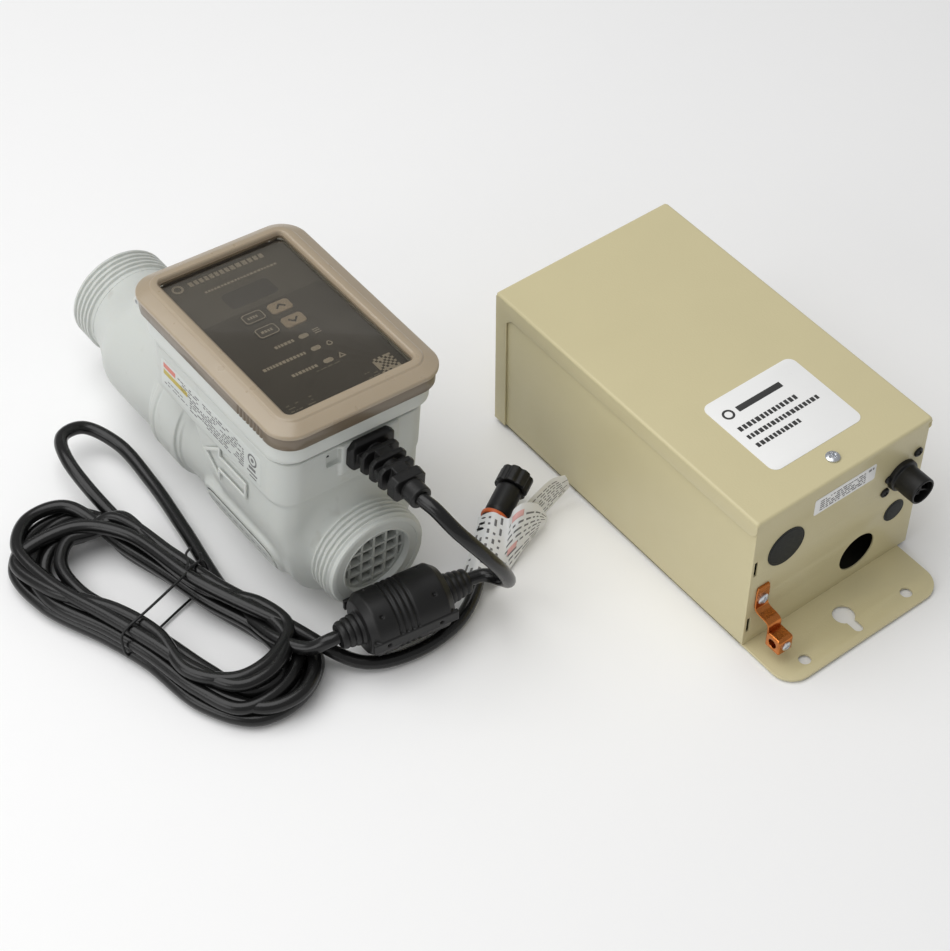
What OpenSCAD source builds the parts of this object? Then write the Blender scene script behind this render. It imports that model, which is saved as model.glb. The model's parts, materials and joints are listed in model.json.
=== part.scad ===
// Salt chlorine generator: a pipe-mounted electrolytic cell with its control head, cable and plug, and the
// sheet-metal power supply that feeds it.
// Origin: the centre of the cell's pipe, half way along it. +Y is the way the water flows, +Z is up and +X
// points from the cell to the power supply. Both units lie on one floor. All sizes are in millimetres.

/* [Cell pipe] */
// Length of the cell from union face to union face
cell_l = 336; // [330:1:345]
// Outside diameter of the union threads
union_d = 80; // [78:0.5:84]
// Bore at both ends
bore_d = 53; // [50:0.5:55]
// Radius of the barrel between the unions
belly_r = 50; // [49:0.5:52]
// Length of each union thread
thread_l = 26; // [22:1:28]
// How far the cell is rolled about its pipe as it lies on the floor, in degrees
cell_roll = 5; // [0:0.5:12]

/* [Control head] */
// Width of the head's white rim
rim_w = 129; // [126:1:132]
// Length of the head's white rim
rim_l = 177; // [175:1:180]
// How far the head's centre sits from the pipe's middle, against the flow
head_shift = 56; // [55:0.5:58]
// Height of the seam between the cell body and the control head
seam_z = 95; // [94:0.5:98]
// Width of the hinged cover
cover_w = 136; // [134:1:140]
// Clear width of the cover's window
window_w = 97; // [90:1:100]
// Clear length of the cover's window
window_l = 160; // [150:1:160]

/* [Electrodes] */
// Number of electrode plates, anodes and cathodes together
plate_n = 7; // [5:2:7]
// Distance from plate to plate
plate_pitch = 6.5; // [6:0.1:7]

/* [Cable] */
// Outside diameter of the cable
cable_d = 10; // [9:0.5:10]
// Half-turns of cable in each layer of the coil
coil_half_turns = 6; // [4:2:6]
// Length of the coil's straight sides
coil_straight = 170; // [150:5:180]

/* [Power supply] */
// Width of the power supply
supply_w = 160; // [155:1:165]
// Length of the power supply
supply_l = 276; // [270:1:290]
// Height of the power supply
supply_h = 130; // [125:1:140]
// Thickness of its sheet metal
sheet_t = 1.5; // [1.2:0.1:1.6]
// How far the mounting flange reaches in front of the case
flange_reach = 49; // [47:1:55]
// Gap between the cell's axis and the left side of the supply
supply_x = 177; // [170:1:260]
// Place of the supply's front panel along the pipe
supply_y = -347; // [-360:1:-300]

/* [Hidden] */
$fn = 64;
eps = 0.01;
// Gap left between parts that fit into each other, and running gap round a pin
fit_gap = 0.1;
run_gap = 0.05;

// A raised band goes round the barrel, and the cell rests on it
band_h = 2.5;
floor_z = -belly_r - band_h;
half_l = cell_l / 2;
union_r = union_d / 2;
bore_r = bore_d / 2;
chamber_r = belly_r - 7;
chamber_l = 236;

// Control head: plan outlines are centred on head_y
head_y = -head_shift;
wall_w = rim_w - 7;
wall_l = rim_l - 12;
wall_t = 5;
cavity_floor = 54;
gasket_t = 1.2;
housing_z = seam_z + gasket_t;
rim_top = housing_z + 22;
deck_z = rim_top + 7;
deck_w = rim_w - 5;
deck_l = rim_l - 6;
panel_t = 0.6;
window_z = deck_z + 6.5;
hinge_r = 3.6;
hinge_pin_r = 1.6;
hinge_y = head_y + rim_l / 2 + 4;
hinge_z = rim_top - 4;
// The cover reaches past the rim by 4 in front and past the hinge behind
cover_l = rim_l + 8 + hinge_r;
cover_y = head_y + hinge_r / 2;
// The window sits nearer the hinge than the front
window_y = head_y + 5;
near_wall_y = head_y - wall_l / 2;
// Places of the things on the control panel: [x, y]
key_size = [17.4, 11.4];
setup_at = [-11, window_y + 19];
boost_at = [-11, window_y + 2.5];
up_at = [10.5, window_y + 19];
down_at = [10.5, window_y + 2.5];
display_at = [1, window_y + 41.5];
display_size = [38, 16];
led_at = [for (i = [0 : 2]) [7, window_y - 14.2 - 14.5 * i]];
screw_at = [for (sx = [-1, 1], sy = [-1, 1]) [sx * 54.5, head_y + sy * (rim_l / 2 - 13)]];

plate_h = 62;
plate_l = 100;
plate_t = 1.2;
plate_y = -48;
bus_z = 34.5;
anode_bus_y = -70;
cathode_bus_y = -26;
potting_y = -48;
flow_y = 8;

gland_x = 8;
gland_z = 84;

// Power supply
front_holes_open = [106.4, 26.6, 16.5];
front_holes_shut = [[31.4, 86.5, 16.5], [138, 49, 9.5]];
receptacle_at = [138, 87];
receptacle_r = 10.5;
receptacle_screw_at = [[-13.9, -10], [13.9, 13]];
lip_t = 1.2;
shell_gap = 0.15;
lid_screw_at = [80, 13.6];
strap_x = 14;
lug_out = 14;
lug_l = 14;

// ---------- helpers ----------

// A rectangle with round corners, as points
function round_rect(w, l, r, n = 6) = [
    for (c = [[1, 1, 0], [-1, 1, 90], [-1, -1, 180], [1, -1, 270]], i = [0 : n])
        [c.x * (w / 2 - r) + r * cos(c[2] + 90 * i / n), c.y * (l / 2 - r) + r * sin(c[2] + 90 * i / n)]
];

module slab(w, l, r, z0, z1) translate([0, 0, z0]) linear_extrude(z1 - z0) polygon(round_rect(w, l, r));
module box_between(a, b) translate(a) cube(b - a);
module along_y(y0, y1, r) translate([0, y0, 0]) rotate([-90, 0, 0]) cylinder(r = r, h = y1 - y0);
module along_x(x0, x1, r) translate([x0, 0, 0]) rotate([0, 90, 0]) cylinder(r = r, h = x1 - x0);
module rolled() rotate([0, cell_roll, 0]) children();
module unrolled() rotate([0, -cell_roll, 0]) children();
module on_head() rolled() translate([0, head_y, 0]) children();
module on_supply() translate([supply_x, supply_y, floor_z]) children();

function roll_point(p) = [
    p.x * cos(cell_roll) + p.z * sin(cell_roll), p.y, p.z * cos(cell_roll) - p.x * sin(cell_roll)
];
function unit(v) = v / norm(v);

// A smooth curve through the given points, k pieces to each span
function catmull(a, b, c, d, t) =
    0.5 * ((2 * b) + (c - a) * t + (2 * a - 5 * b + 4 * c - d) * t * t + (3 * b - a - 3 * c + d) * t * t * t);
function curve(p, k) = [
    for (i = [0 : len(p) - 2], j = [0 : k - 1])
        catmull(p[max(i - 1, 0)], p[i], p[i + 1], p[min(i + 2, len(p) - 1)], j / k),
    p[len(p) - 1]
];

// Tangent of a path at point i, and the normals carried along it without twist
function tangent(p, i) = unit(p[min(i + 1, len(p) - 1)] - p[max(i - 1, 0)]);
function carried(n, t) = unit(n - t * (n * t));
function normals(p, n0) = [
    for (i = 0, n = carried(n0, tangent(p, 0)); i < len(p);
         i = i + 1, n = i < len(p) ? carried(n, tangent(p, i)) : n) n
];

// A round rod of radius r along a path
module rod(p, r, sides = 8, n0 = [0.3, 0.1, 1]) {
    ns = normals(p, n0);
    points = [
        for (i = [0 : len(p) - 1], j = [0 : sides - 1])
            let (t = tangent(p, i), n = ns[i], b = cross(t, n), a = 360 * j / sides)
                p[i] + r * (n * cos(a) + b * sin(a))
    ];
    last = (len(p) - 1) * sides;
    faces = concat(
        [[for (j = [0 : sides - 1]) j]],
        [for (i = [0 : len(p) - 2], j = [0 : sides - 1])
            let (k = (j + 1) % sides, a = i * sides)
                [a + j, a + sides + j, a + sides + k, a + k]],
        [[for (j = [0 : sides - 1]) last + sides - 1 - j]]
    );
    polyhedron(points, faces, convexity = 10);
}

// A pan-head screw standing on z = 0, with a cross recess
module pan_screw(head_r, head_h, r, l) {
    difference() {
        union() {
            translate([0, 0, -l]) cylinder(r = r, h = l + eps);
            cylinder(r = head_r, h = head_h);
        }
        for (a = [0, 90])
            rotate([0, 0, a]) translate([-head_r * 0.6, -0.5, head_h * 0.4]) cube([head_r * 1.2, 1, head_h]);
    }
}

// ---------- cell ----------

// Half outline of the cell's outside, radius against height along the pipe, from the middle to the end
thread_pitch = 5;
groove_depth = 1.7;
function end_outline() = concat(
    [[0, 0], [belly_r, 0], [belly_r, half_l - 46], [belly_r - 3, half_l - 38],
     [union_r - groove_depth, half_l - thread_l - 2], [union_r - groove_depth, half_l - thread_l]],
    [for (i = [4 : -1 : 0], p = [[0, 3.6], [0, 0.6], [1, 0], [1, -1.2]])
        let (y = half_l - 1.4 - i * thread_pitch)
            [p[0] == 0 ? union_r : union_r - groove_depth,
             p[0] == 1 && i == 0 ? half_l : y - p[1]]],
    [[0, half_l]]
);

module cell_end_solid() rotate([-90, 0, 0]) rotate_extrude() polygon(end_outline());

module service_pocket(grow, depth) {
    // Flat flank that runs from the lower edge of the side wall to the barrel
    rolled() rotate([0, -20, 0]) translate([-50, head_y - 20, 0]) rotate([0, -90, 0])
        translate([0, 0, -depth]) linear_extrude(depth + 10)
            polygon(round_rect(24 + 2 * grow, 84 + 2 * grow, 11.9 + grow, 8));
}

module cell_body() color([0.86, 0.88, 0.86]) {
    rolled() difference() {
        union() {
            cell_end_solid();
            mirror([0, 1, 0]) cell_end_solid();
            // Side walls of the head, drawn down on to the barrel
            translate([0, head_y, 0]) slab(wall_w, wall_l, 18, 20, seam_z);
            hull() {
                translate([0, head_y, 0]) slab(wall_w, wall_l, 18, 19, 20);
                along_y(near_wall_y + 10, head_y + wall_l / 2 - 8, belly_r);
            }
            // Fairing behind the head
            hull() {
                translate([-44, head_y + wall_l / 2 - 2, 20]) cube([88, 2, 62]);
                along_y(100, 104, belly_r - 1);
            }
            // Band round the barrel
            along_y(5, 38, belly_r + band_h);
            // Pad that the cable gland is bolted to
            translate([gland_x - 20, near_wall_y - 2.5, gland_z - 13]) cube([40, 4, 24]);
        }
        unrolled() service_pocket(0, 3);
        along_y(-half_l - 1, half_l + 1, bore_r);
        along_y(-chamber_l / 2, chamber_l / 2, chamber_r);
        translate([0, head_y, 0]) difference() {
            slab(wall_w - 2 * wall_t, wall_l - 2 * wall_t, 13, cavity_floor, seam_z + 1);
            for (p = screw_at) translate([p.x, p.y - head_y, cavity_floor]) cylinder(r = 5.5, h = 60);
        }
        for (p = screw_at) translate([p.x, p.y, seam_z - 18]) cylinder(r = 2, h = 20);
        translate([-22, potting_y - 40, 30]) cube([44, 80, 40]);
        translate([0, -106, 30]) cylinder(r = 5, h = 40);
        translate([0, flow_y, 30]) cylinder(r = 9, h = 40);
        translate([gland_x, 0, gland_z]) along_y(near_wall_y - 10, near_wall_y + 10, 7);
        // Pocket beside the gland pad and the vent slits
        translate([gland_x - 30, near_wall_y - 1, gland_z - 3]) cube([9, 4, 9]);
        for (i = [0 : 2]) translate([-38 + i * 7, near_wall_y - 1, seam_z - 6]) cube([4, 3, 0.8]);
        translate([-wall_w / 2, 0, 0]) rotate([0, -90, 0]) flow_arrow(0.7);
    }
}

// Outline arrow that shows the way the water flows, cut into the side wall
module flow_arrow(depth) {
    outline = [[0, -98], [14, -98], [14, -66], [22, -66], [7, -46], [-8, -66], [0, -66]];
    translate([36, 0, -depth]) linear_extrude(depth + 1) difference() {
        polygon(outline);
        translate([1.05, -10.8]) scale([0.85, 0.85]) polygon(outline);
    }
}

module service_plate() color([0.8, 0.82, 0.8]) difference() {
    service_pocket(-0.4, 2.8);
    rolled() rotate([0, -20, 0]) translate([-70, -200, -40]) cube([17, 300, 80]);
}

// Flow straightener: a disc of square cells
module grid_disc(y0) rolled() translate([0, y0, 0]) rotate([-90, 0, 0]) {
    difference() {
        cylinder(r = bore_r - fit_gap, h = 5);
        translate([0, 0, -1]) cylinder(r = bore_r - 2.2, h = 7);
    }
    intersection() {
        cylinder(r = bore_r - 1, h = 5);
        for (i = [-2 : 2]) {
            translate([i * 10 - 0.9, -bore_r, 0]) cube([1.8, bore_d, 5]);
            translate([-bore_r, i * 10 - 0.9, 0]) cube([bore_d, 1.8, 5]);
        }
    }
}
module inlet_grid() color([0.83, 0.85, 0.83]) grid_disc(-half_l + 5);
module outlet_grid() color([0.83, 0.85, 0.83]) grid_disc(half_l - 10);

// Electrode plates number first, first + 2, ... with their tabs on the bus rod at bus_y
module plates(first, bus_y) rolled() for (i = [first : 2 : plate_n - 1])
    translate([(i - (plate_n - 1) / 2) * plate_pitch - plate_t / 2, 0, 0]) difference() {
        union() {
            translate([0, plate_y - plate_l / 2, -32]) cube([plate_t, plate_l, plate_h]);
            translate([0, bus_y - 5, 0]) cube([plate_t, 10, bus_z + 4]);
        }
        translate([0, bus_y, bus_z]) along_x(-1, 3, 2 + run_gap);
    }
module anode_plates() color([0.33, 0.33, 0.35]) plates(1, anode_bus_y);
module cathode_plates() color([0.62, 0.62, 0.63]) plates(0, cathode_bus_y);

module plate_combs() color([0.85, 0.87, 0.85]) rolled() for (y = [plate_y - 42, plate_y + 42]) difference() {
    translate([-21.4, y - 3, -36.8]) cube([42.8, 6, 9]);
    for (i = [0 : plate_n - 1])
        translate([(i - (plate_n - 1) / 2) * plate_pitch - plate_t / 2 - fit_gap, y - 4, -32 - fit_gap])
            cube([plate_t + 2 * fit_gap, 8, 10]);
}

module terminal_rods() color([0.7, 0.7, 0.72]) rolled()
    for (y = [anode_bus_y, cathode_bus_y]) translate([0, y, 0]) {
    translate([0, 0, bus_z]) along_x(-20.5, 20.5, 2);
    translate([plate_pitch / 2, 0, bus_z]) cylinder(r = 1.8, h = 36);
    translate([plate_pitch / 2, 0, 62]) cylinder(r = 4, h = 3, $fn = 6);
}

module potting_block() color([0.12, 0.12, 0.12]) rolled() difference() {
    union() {
        translate([-22 + fit_gap, potting_y - 40 + fit_gap, 39])
            cube([44 - 2 * fit_gap, 80 - 2 * fit_gap, 18]);
        translate([-26, potting_y - 43, cavity_floor]) cube([52, 86, 4]);
    }
    for (y = [anode_bus_y, cathode_bus_y])
        translate([plate_pitch / 2, y, 30]) cylinder(r = 1.8 + fit_gap, h = 40);
}

module temperature_probe() color([0.75, 0.75, 0.77]) rolled() translate([0, -106, 0]) {
    translate([0, 0, 14]) cylinder(r = 2.5, h = 28);
    translate([0, 0, 40]) cylinder(r = 5 - fit_gap, h = 15);
    translate([0, 0, cavity_floor]) cylinder(r = 8, h = 8, $fn = 6);
}

module flow_switch() color([0.15, 0.15, 0.16]) rolled() translate([0, flow_y, 0]) difference() {
    union() {
        translate([0, 0, 36]) cylinder(r = 9 - fit_gap, h = 20);
        translate([0, 0, cavity_floor]) cylinder(r = 12.4, h = 4);
        translate([0, 0, 58 - eps]) cylinder(r = 6, h = 10);
        intersection() {
            translate([-7.5, -5, 24]) cube([15, 10, 13]);
            translate([0, 0, 20]) cylinder(r = 9 - fit_gap, h = 20);
        }
    }
    translate([-4, -10, 20]) cube([8, 20, 15]);
    translate([0, 0, 28]) along_x(-10, 10, 1.5);
}

module flow_paddle() color([0.9, 0.9, 0.88]) rolled() translate([0, flow_y, 28]) difference() {
    union() {
        along_x(-3.6, 3.6, 3.6);
        translate([-3, -1.5, -16]) cube([6, 3, 14]);
        translate([-12, -1.5, -50]) cube([24, 3, 35]);
    }
    along_x(-5, 5, 1.5 + run_gap);
}

module paddle_pin() color([0.7, 0.7, 0.72]) rolled() translate([0, flow_y, 28]) along_x(-7, 7, 1.5);

module side_label() color([0.9, 0.9, 0.89]) rolled()
    translate([-wall_w / 2 - 0.3, -116, 62]) cube([0.3, 122, 25]);

// ---------- control head ----------

module head_gasket() color([0.2, 0.2, 0.2]) on_head() difference() {
    slab(wall_w - 1, wall_l - 1, 17.5, seam_z, housing_z);
    difference() {
        slab(wall_w - 8, wall_l - 8, 14, seam_z - 1, housing_z + 1);
        for (p = screw_at) translate([p.x, p.y - head_y, seam_z - 2]) cylinder(r = 5.5, h = 6);
    }
    for (p = screw_at) translate([p.x, p.y - head_y, seam_z - 1]) cylinder(r = 2.3, h = 4);
}

module hinge_ear(x0, x1) translate([0, hinge_y - head_y, hinge_z]) difference() {
    union() {
        along_x(x0, x1, hinge_r);
        translate([x0, -20, -hinge_r]) cube([x1 - x0, 20, hinge_r]);
    }
    along_x(x0 - 1, x1 + 1, hinge_pin_r);
}

module control_housing() color([0.87, 0.89, 0.87]) on_head() difference() {
    union() {
        slab(wall_w + 1, wall_l + 1, 18, housing_z, housing_z + 2);
        hull() {
            slab(wall_w + 1, wall_l + 1, 18, housing_z + 1, housing_z + 2);
            slab(rim_w, rim_l, 20, housing_z + 9, housing_z + 10);
        }
        slab(rim_w, rim_l, 20, housing_z + 9, rim_top);
        slab(deck_w, deck_l, 18, rim_top - 1, deck_z);
        for (s = [-1, 1]) {
            hinge_ear(s * 47 - 3, s * 47 + 3);
            hinge_ear(s * 58 - 3, s * 58 + 3);
        }
    }
    difference() {
        slab(deck_w - 7, deck_l - 11, 14, housing_z - 1, deck_z - 3);
        for (p = screw_at) translate([p.x, p.y - head_y, housing_z - 2]) cylinder(r = 5.5, h = 60);
    }
    for (p = screw_at) translate([p.x, p.y - head_y, 0]) {
        cylinder(r = 2.3, h = 200);
        translate([0, 0, deck_z - 4]) cylinder(r = 4.4, h = 10);
    }
    translate([0, -head_y, 0]) {
        for (p = [setup_at, boost_at, up_at, down_at])
            translate([p.x, p.y, deck_z - 5]) linear_extrude(10)
                polygon(round_rect(key_size.x, key_size.y, 3));
        translate([display_at.x, display_at.y, deck_z])
            cube([display_size.x, display_size.y, 10], center = true);
        for (p = led_at) translate([p.x, p.y, deck_z - 5]) cylinder(r = 1.7, h = 10);
    }
}

module housing_screws() color([0.75, 0.75, 0.77]) rolled() for (p = screw_at)
    translate([p.x, p.y, deck_z - 4]) pan_screw(4, 2.6, 1.9, deck_z - 4 - seam_z + 14);

board_z = deck_z - 13;
module control_board() color([0.1, 0.35, 0.2]) rolled() difference() {
    union() {
        translate([-46, -125, board_z]) cube([92, 140, 1.6]);
        for (p = [setup_at, boost_at, up_at, down_at])
            translate([p.x - 3, p.y - 3, board_z + 1.5]) cube([6, 6, 4.6]);
        translate([-34, -118, board_z - 8]) cube([26, 20, 8.1]);
        translate([10, -116, board_z - 12]) cylinder(r = 8, h = 12.1);
    }
    for (sx = [-1, 1], y = [-120, 10]) translate([sx * 41, y, board_z - 1]) cylinder(r = 1.7, h = 4);
}

module board_screws() color([0.75, 0.75, 0.77]) rolled() for (sx = [-1, 1], y = [-120, 10])
    translate([sx * 41, y, board_z]) mirror([0, 0, 1]) pan_screw(3, 2, 1.5, deck_z - 3 - board_z);

module display_module() color([0.1, 0.12, 0.11]) rolled()
    translate([display_at.x - 24, display_at.y - 13, board_z + 1.6])
        cube([48, 26, deck_z - 3 - board_z - 1.6]);

module light_pipes() color([0.8, 0.9, 0.8]) rolled() for (p = led_at)
    translate([p.x, p.y, board_z + 1.6]) cylinder(r = 1.6, h = deck_z + panel_t - board_z - 1.6);

module control_panel() color([0.31, 0.3, 0.27]) rolled() difference() {
    translate([0, window_y, 0]) slab(window_w + 5, window_l + 0.5, 4, deck_z, deck_z + panel_t);
    for (p = [setup_at, boost_at, up_at, down_at])
        translate([p.x, p.y, deck_z - 1]) linear_extrude(3) polygon(round_rect(key_size.x, key_size.y, 3));
    for (p = led_at) translate([p.x, p.y, deck_z - 1]) cylinder(r = 1.7, h = 3);
}

// A key: its cap stands 1 mm above the panel and its foot keeps it in
module key(p) rolled() translate([p.x, p.y, 0]) {
    translate([0, 0, deck_z - 5]) linear_extrude(6 + panel_t)
        polygon(round_rect(key_size.x - 0.6, key_size.y - 0.6, 2.8));
    translate([0, 0, deck_z - 5]) linear_extrude(1.6) polygon(round_rect(key_size.x + 2, key_size.y + 2, 3));
}
module setup_button() color([0.35, 0.34, 0.3]) key(setup_at);
module boost_button() color([0.35, 0.34, 0.3]) key(boost_at);
module up_button() color([0.68, 0.62, 0.53]) key(up_at);
module down_button() color([0.68, 0.62, 0.53]) key(down_at);

// Hinged cover: a raised frame round a clear window, with a skirt that the fingers lift
module panel_cover() color([0.68, 0.62, 0.53]) rolled() difference() {
    union() {
        difference() {
            translate([0, cover_y, 0]) union() {
                slab(cover_w, cover_l, 20, rim_top + 9, rim_top + 12);
                hull() {
                    slab(cover_w, cover_l, 20, rim_top + 11, rim_top + 12);
                    slab(cover_w - 18, cover_l - 18, 13, rim_top + 16, rim_top + 17);
                }
                // Skirt
                slab(cover_w - 3, cover_l - 3, 19, rim_top + 1, rim_top + 10);
            }
            translate([0, cover_y, 0]) slab(cover_w - 8, cover_l - 8, 17, rim_top - 1, window_z - 2.5);
            translate([0, window_y, 0]) slab(window_w, window_l, 4, window_z, window_z + 10);
            // The skirt stops short of the hinges
            translate([-cover_w, hinge_y - 9, rim_top - 1]) cube([2 * cover_w, 40, 10]);
        }
        for (s = [-1, 1]) translate([0, hinge_y, hinge_z]) {
            along_x(s * 52.5 - 2.2, s * 52.5 + 2.2, hinge_r);
            translate([s * 52.5 - 2.2, 0, 0]) cube([4.4, hinge_r, rim_top + 10 - hinge_z]);
        }
    }
    translate([0, hinge_y, hinge_z]) along_x(-80, 80, hinge_pin_r + run_gap);
    // Finger grips
    for (s = [-1, 1], i = [0 : 9])
        translate([s * (cover_w - 3) / 2 - 0.6, head_y - 70 + i * 3.4, rim_top]) cube([1.2, 1.5, 9]);
}

module hinge_pins() color([0.7, 0.7, 0.72]) rolled() translate([0, hinge_y, hinge_z])
    for (s = [-1, 1]) along_x(s * 52.5 - 8.5, s * 52.5 + 8.5, hinge_pin_r);

// ---------- cable ----------

module strain_relief() color([0.07, 0.07, 0.07]) rolled() translate([gland_x, near_wall_y - 2.5, gland_z])
    difference() {
        union() {
            translate([-17, -5, -11]) cube([34, 5, 22]);
            rotate([90, 0, 0]) translate([0, 0, -10]) cylinder(r = 6.9, h = 60);
            for (i = [0 : 4]) translate([-12 + i * 0.7, -13 - i * 8, -9 + i * 0.5])
                cube([24 - i * 1.4, 4.5, 18 - i]);
            rotate([90, 0, 0]) translate([0, 0, 49]) cylinder(r = 8, h = 10);
        }
        rotate([90, 0, 0]) translate([0, 0, -20]) cylinder(r = cable_d / 2 + fit_gap, h = 100);
    }

cable_r = cable_d / 2;
ferrite_r = 23.5;
ferrite_at = [-4, -199.5, floor_z + cable_d + ferrite_r + 1];
ferrite_turn = 172;
ferrite_half = 32;
boot_l = 20;
function ferrite_point(s) = ferrite_at + s * [cos(ferrite_turn), sin(ferrite_turn), 0];

// Coil of cable on the floor: two flat layers, wound inwards and then outwards
coil_at = [-124, -88];
coil_turn = 16;
coil_r = 42;
coil_pitch = cable_d + 1;
low_z = floor_z + cable_r;
high_z = low_z + cable_d + 0.6;
function coil_point(u, v, z) = [
    coil_at.x + u * cos(coil_turn) - v * sin(coil_turn),
    coil_at.y + u * sin(coil_turn) + v * cos(coil_turn), z
];
function coil_radius(tau) =
    coil_r - coil_pitch / 2 * (tau <= coil_half_turns ? tau : 2 * coil_half_turns - tau);
coil_steps = 8;
function coil_path() = [
    for (k = [0 : 2 * coil_half_turns - 1], j = [0 : coil_steps])
        let (tau = k + j / coil_steps, a = -180 * tau, r = coil_radius(tau),
             v0 = (k % 2 == 0 ? -1 : 1) * coil_straight / 2)
            coil_point(r * cos(a), r * sin(a) + v0, k < coil_half_turns ? high_z : low_z)
];

plug_at = [101, -166, floor_z + 20];
plug_turn = 28;
plug_tilt = 8;
plug_axis = [cos(plug_turn) * cos(plug_tilt), sin(plug_turn) * cos(plug_tilt), sin(plug_tilt)];

gland_end = roll_point([gland_x, near_wall_y - 62, gland_z]);
gland_start = roll_point([gland_x, near_wall_y + 8, gland_z]);
function cable_path() = concat(
    [gland_start],
    curve([gland_end, gland_end + [7, -17, -5], gland_end + [18, -29, -27], gland_end + [33, -34, -60],
           gland_end + [49, -32, -88], [73, -219, ferrite_at.z + 2], [65, -209.6, ferrite_at.z],
           ferrite_point(-ferrite_half - boot_l - 4), ferrite_point(-ferrite_half - boot_l + 4)], 5),
    curve([ferrite_point(ferrite_half + boot_l - 6), ferrite_point(ferrite_half + boot_l + 4),
           ferrite_point(ferrite_half + boot_l + 12),
           [-57, -160, floor_z + 21], [-60, -130, floor_z + 10], [-57, -90, low_z], [-51, -30, low_z],
           [-48, 30, low_z], [-55, 70, floor_z + 8], [-73, 87, floor_z + 12], [-93, 76, floor_z + 15],
           [-104, 48, high_z], coil_point(coil_r, coil_straight / 2 + 16, high_z)], 4),
    coil_path(),
    curve([coil_point(coil_r, coil_straight / 2 - 30, low_z),
           coil_point(coil_r, -coil_straight / 2 + 10, low_z),
           [-60, -186, low_z], [-35, -206, low_z], [0, -212, low_z], [34, -208, low_z], [60, -194, low_z + 4],
           plug_at - 24 * plug_axis, plug_at - 14 * plug_axis, plug_at + 2 * plug_axis], 4)
);
module main_cable() color([0.06, 0.06, 0.06]) rod(cable_path(), cable_r);

// Ferrite block: a fluted barrel with a ribbed boot at each end
module on_ferrite() translate(ferrite_at) rotate([0, 0, ferrite_turn]) rotate([0, 90, 0]) children();
module ferrite_housing() color([0.09, 0.09, 0.09]) on_ferrite() difference() {
    union() {
        rotate_extrude() polygon(concat(
            [[0, -ferrite_half], [ferrite_r - 4, -ferrite_half], [ferrite_r, -ferrite_half + 4]],
            [for (i = [0 : 3], p = [[0, 0], [1.4, 0.4], [1.4, 2], [0, 2.4]])
                [ferrite_r - p[0], -3.5 + i * 4.4 + p[1]]],
            [[ferrite_r, ferrite_half - 4], [ferrite_r - 4, ferrite_half], [0, ferrite_half]]
        ));
        for (s = [-1, 1], i = [0 : 3])
            translate([0, 0, s * (ferrite_half + 2.4 + i * 4.6) - 1.6]) cylinder(r = 11.5 - i * 1.2, h = 3.2);
        for (s = [0, 1]) mirror([0, 0, s]) translate([0, 0, ferrite_half - 1]) cylinder(r = 7.4, h = boot_l);
    }
    translate([0, 0, -80]) cylinder(r = cable_r + fit_gap, h = 160);
    translate([0, 0, -22]) difference() {
        cylinder(r = 17, h = 44);
        translate([0, 0, -1]) cylinder(r = 7, h = 46);
    }
}
module ferrite_core() color([0.25, 0.25, 0.26]) on_ferrite() difference() {
    translate([0, 0, -21.9]) cylinder(r = 16.9, h = 43.8);
    translate([0, 0, -23]) cylinder(r = 7.1, h = 46);
}

module cable_tie() color([0.06, 0.06, 0.06]) translate([coil_at.x, coil_at.y, 0]) rotate([0, 0, coil_turn])
    difference() {
        translate([-coil_r - 9, -2, floor_z + 0.4]) cube([2 * coil_r + 18, 4, 2 * cable_d + 4.6]);
        translate([-coil_r - 7, -3, floor_z - 1]) cube([2 * coil_r + 14, 6, 2 * cable_d + 5]);
    }

module on_plug() translate(plug_at) rotate([0, 0, plug_turn]) rotate([0, 90 - plug_tilt, 0]) children();
plug_r = 9.6;
plug_l = 44;
module plug_body() color([0.08, 0.08, 0.08]) on_plug() difference() {
    union() {
        for (i = [0 : 2]) translate([0, 0, -11 + i * 4.4]) cylinder(r = 7.2 + i * 0.5, h = 3);
        translate([0, 0, -11]) cylinder(r = 6.3, h = 14);
        translate([0, 0, 2]) cylinder(r1 = 8.4, r2 = plug_r, h = 6);
        translate([0, 0, 8 - eps]) cylinder(r = plug_r, h = plug_l - 21.2);
        translate([0, 0, plug_l - 14]) cylinder(r = 8, h = 14);
    }
    translate([0, 0, -30]) cylinder(r = cable_r + fit_gap, h = 33);
    translate([0, 0, plug_l - 6]) cylinder(r = 6.6, h = 10);
    for (a = [0 : 120 : 240]) rotate([0, 0, a]) translate([3.6, 0, plug_l - 14]) cylinder(r = 1.25, h = 20);
}
module plug_contacts() color([0.8, 0.65, 0.3]) on_plug() for (a = [0 : 120 : 240])
    rotate([0, 0, a]) translate([3.6, 0, plug_l - 14]) cylinder(r = 1.2, h = 13);
module plug_seal() color([0.85, 0.35, 0.12]) on_plug() translate([0, 0, plug_l - 5]) difference() {
    cylinder(r = 6.5, h = 2);
    translate([0, 0, -1]) cylinder(r = 5.4, h = 4);
}
module plug_nut() color([0.07, 0.07, 0.07]) on_plug() difference() {
    translate([0, 0, plug_l - 12.8]) cylinder(r = 12.6, h = 13.8);
    translate([0, 0, plug_l - 11]) cylinder(r = receptacle_r + 0.3, h = 20);
    translate([0, 0, plug_l - 20]) cylinder(r = 8 + run_gap, h = 20);
    for (a = [0 : 45 : 315]) rotate([0, 0, a]) translate([13.4, 0, plug_l - 20]) cylinder(r = 2.1, h = 30);
}

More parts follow.
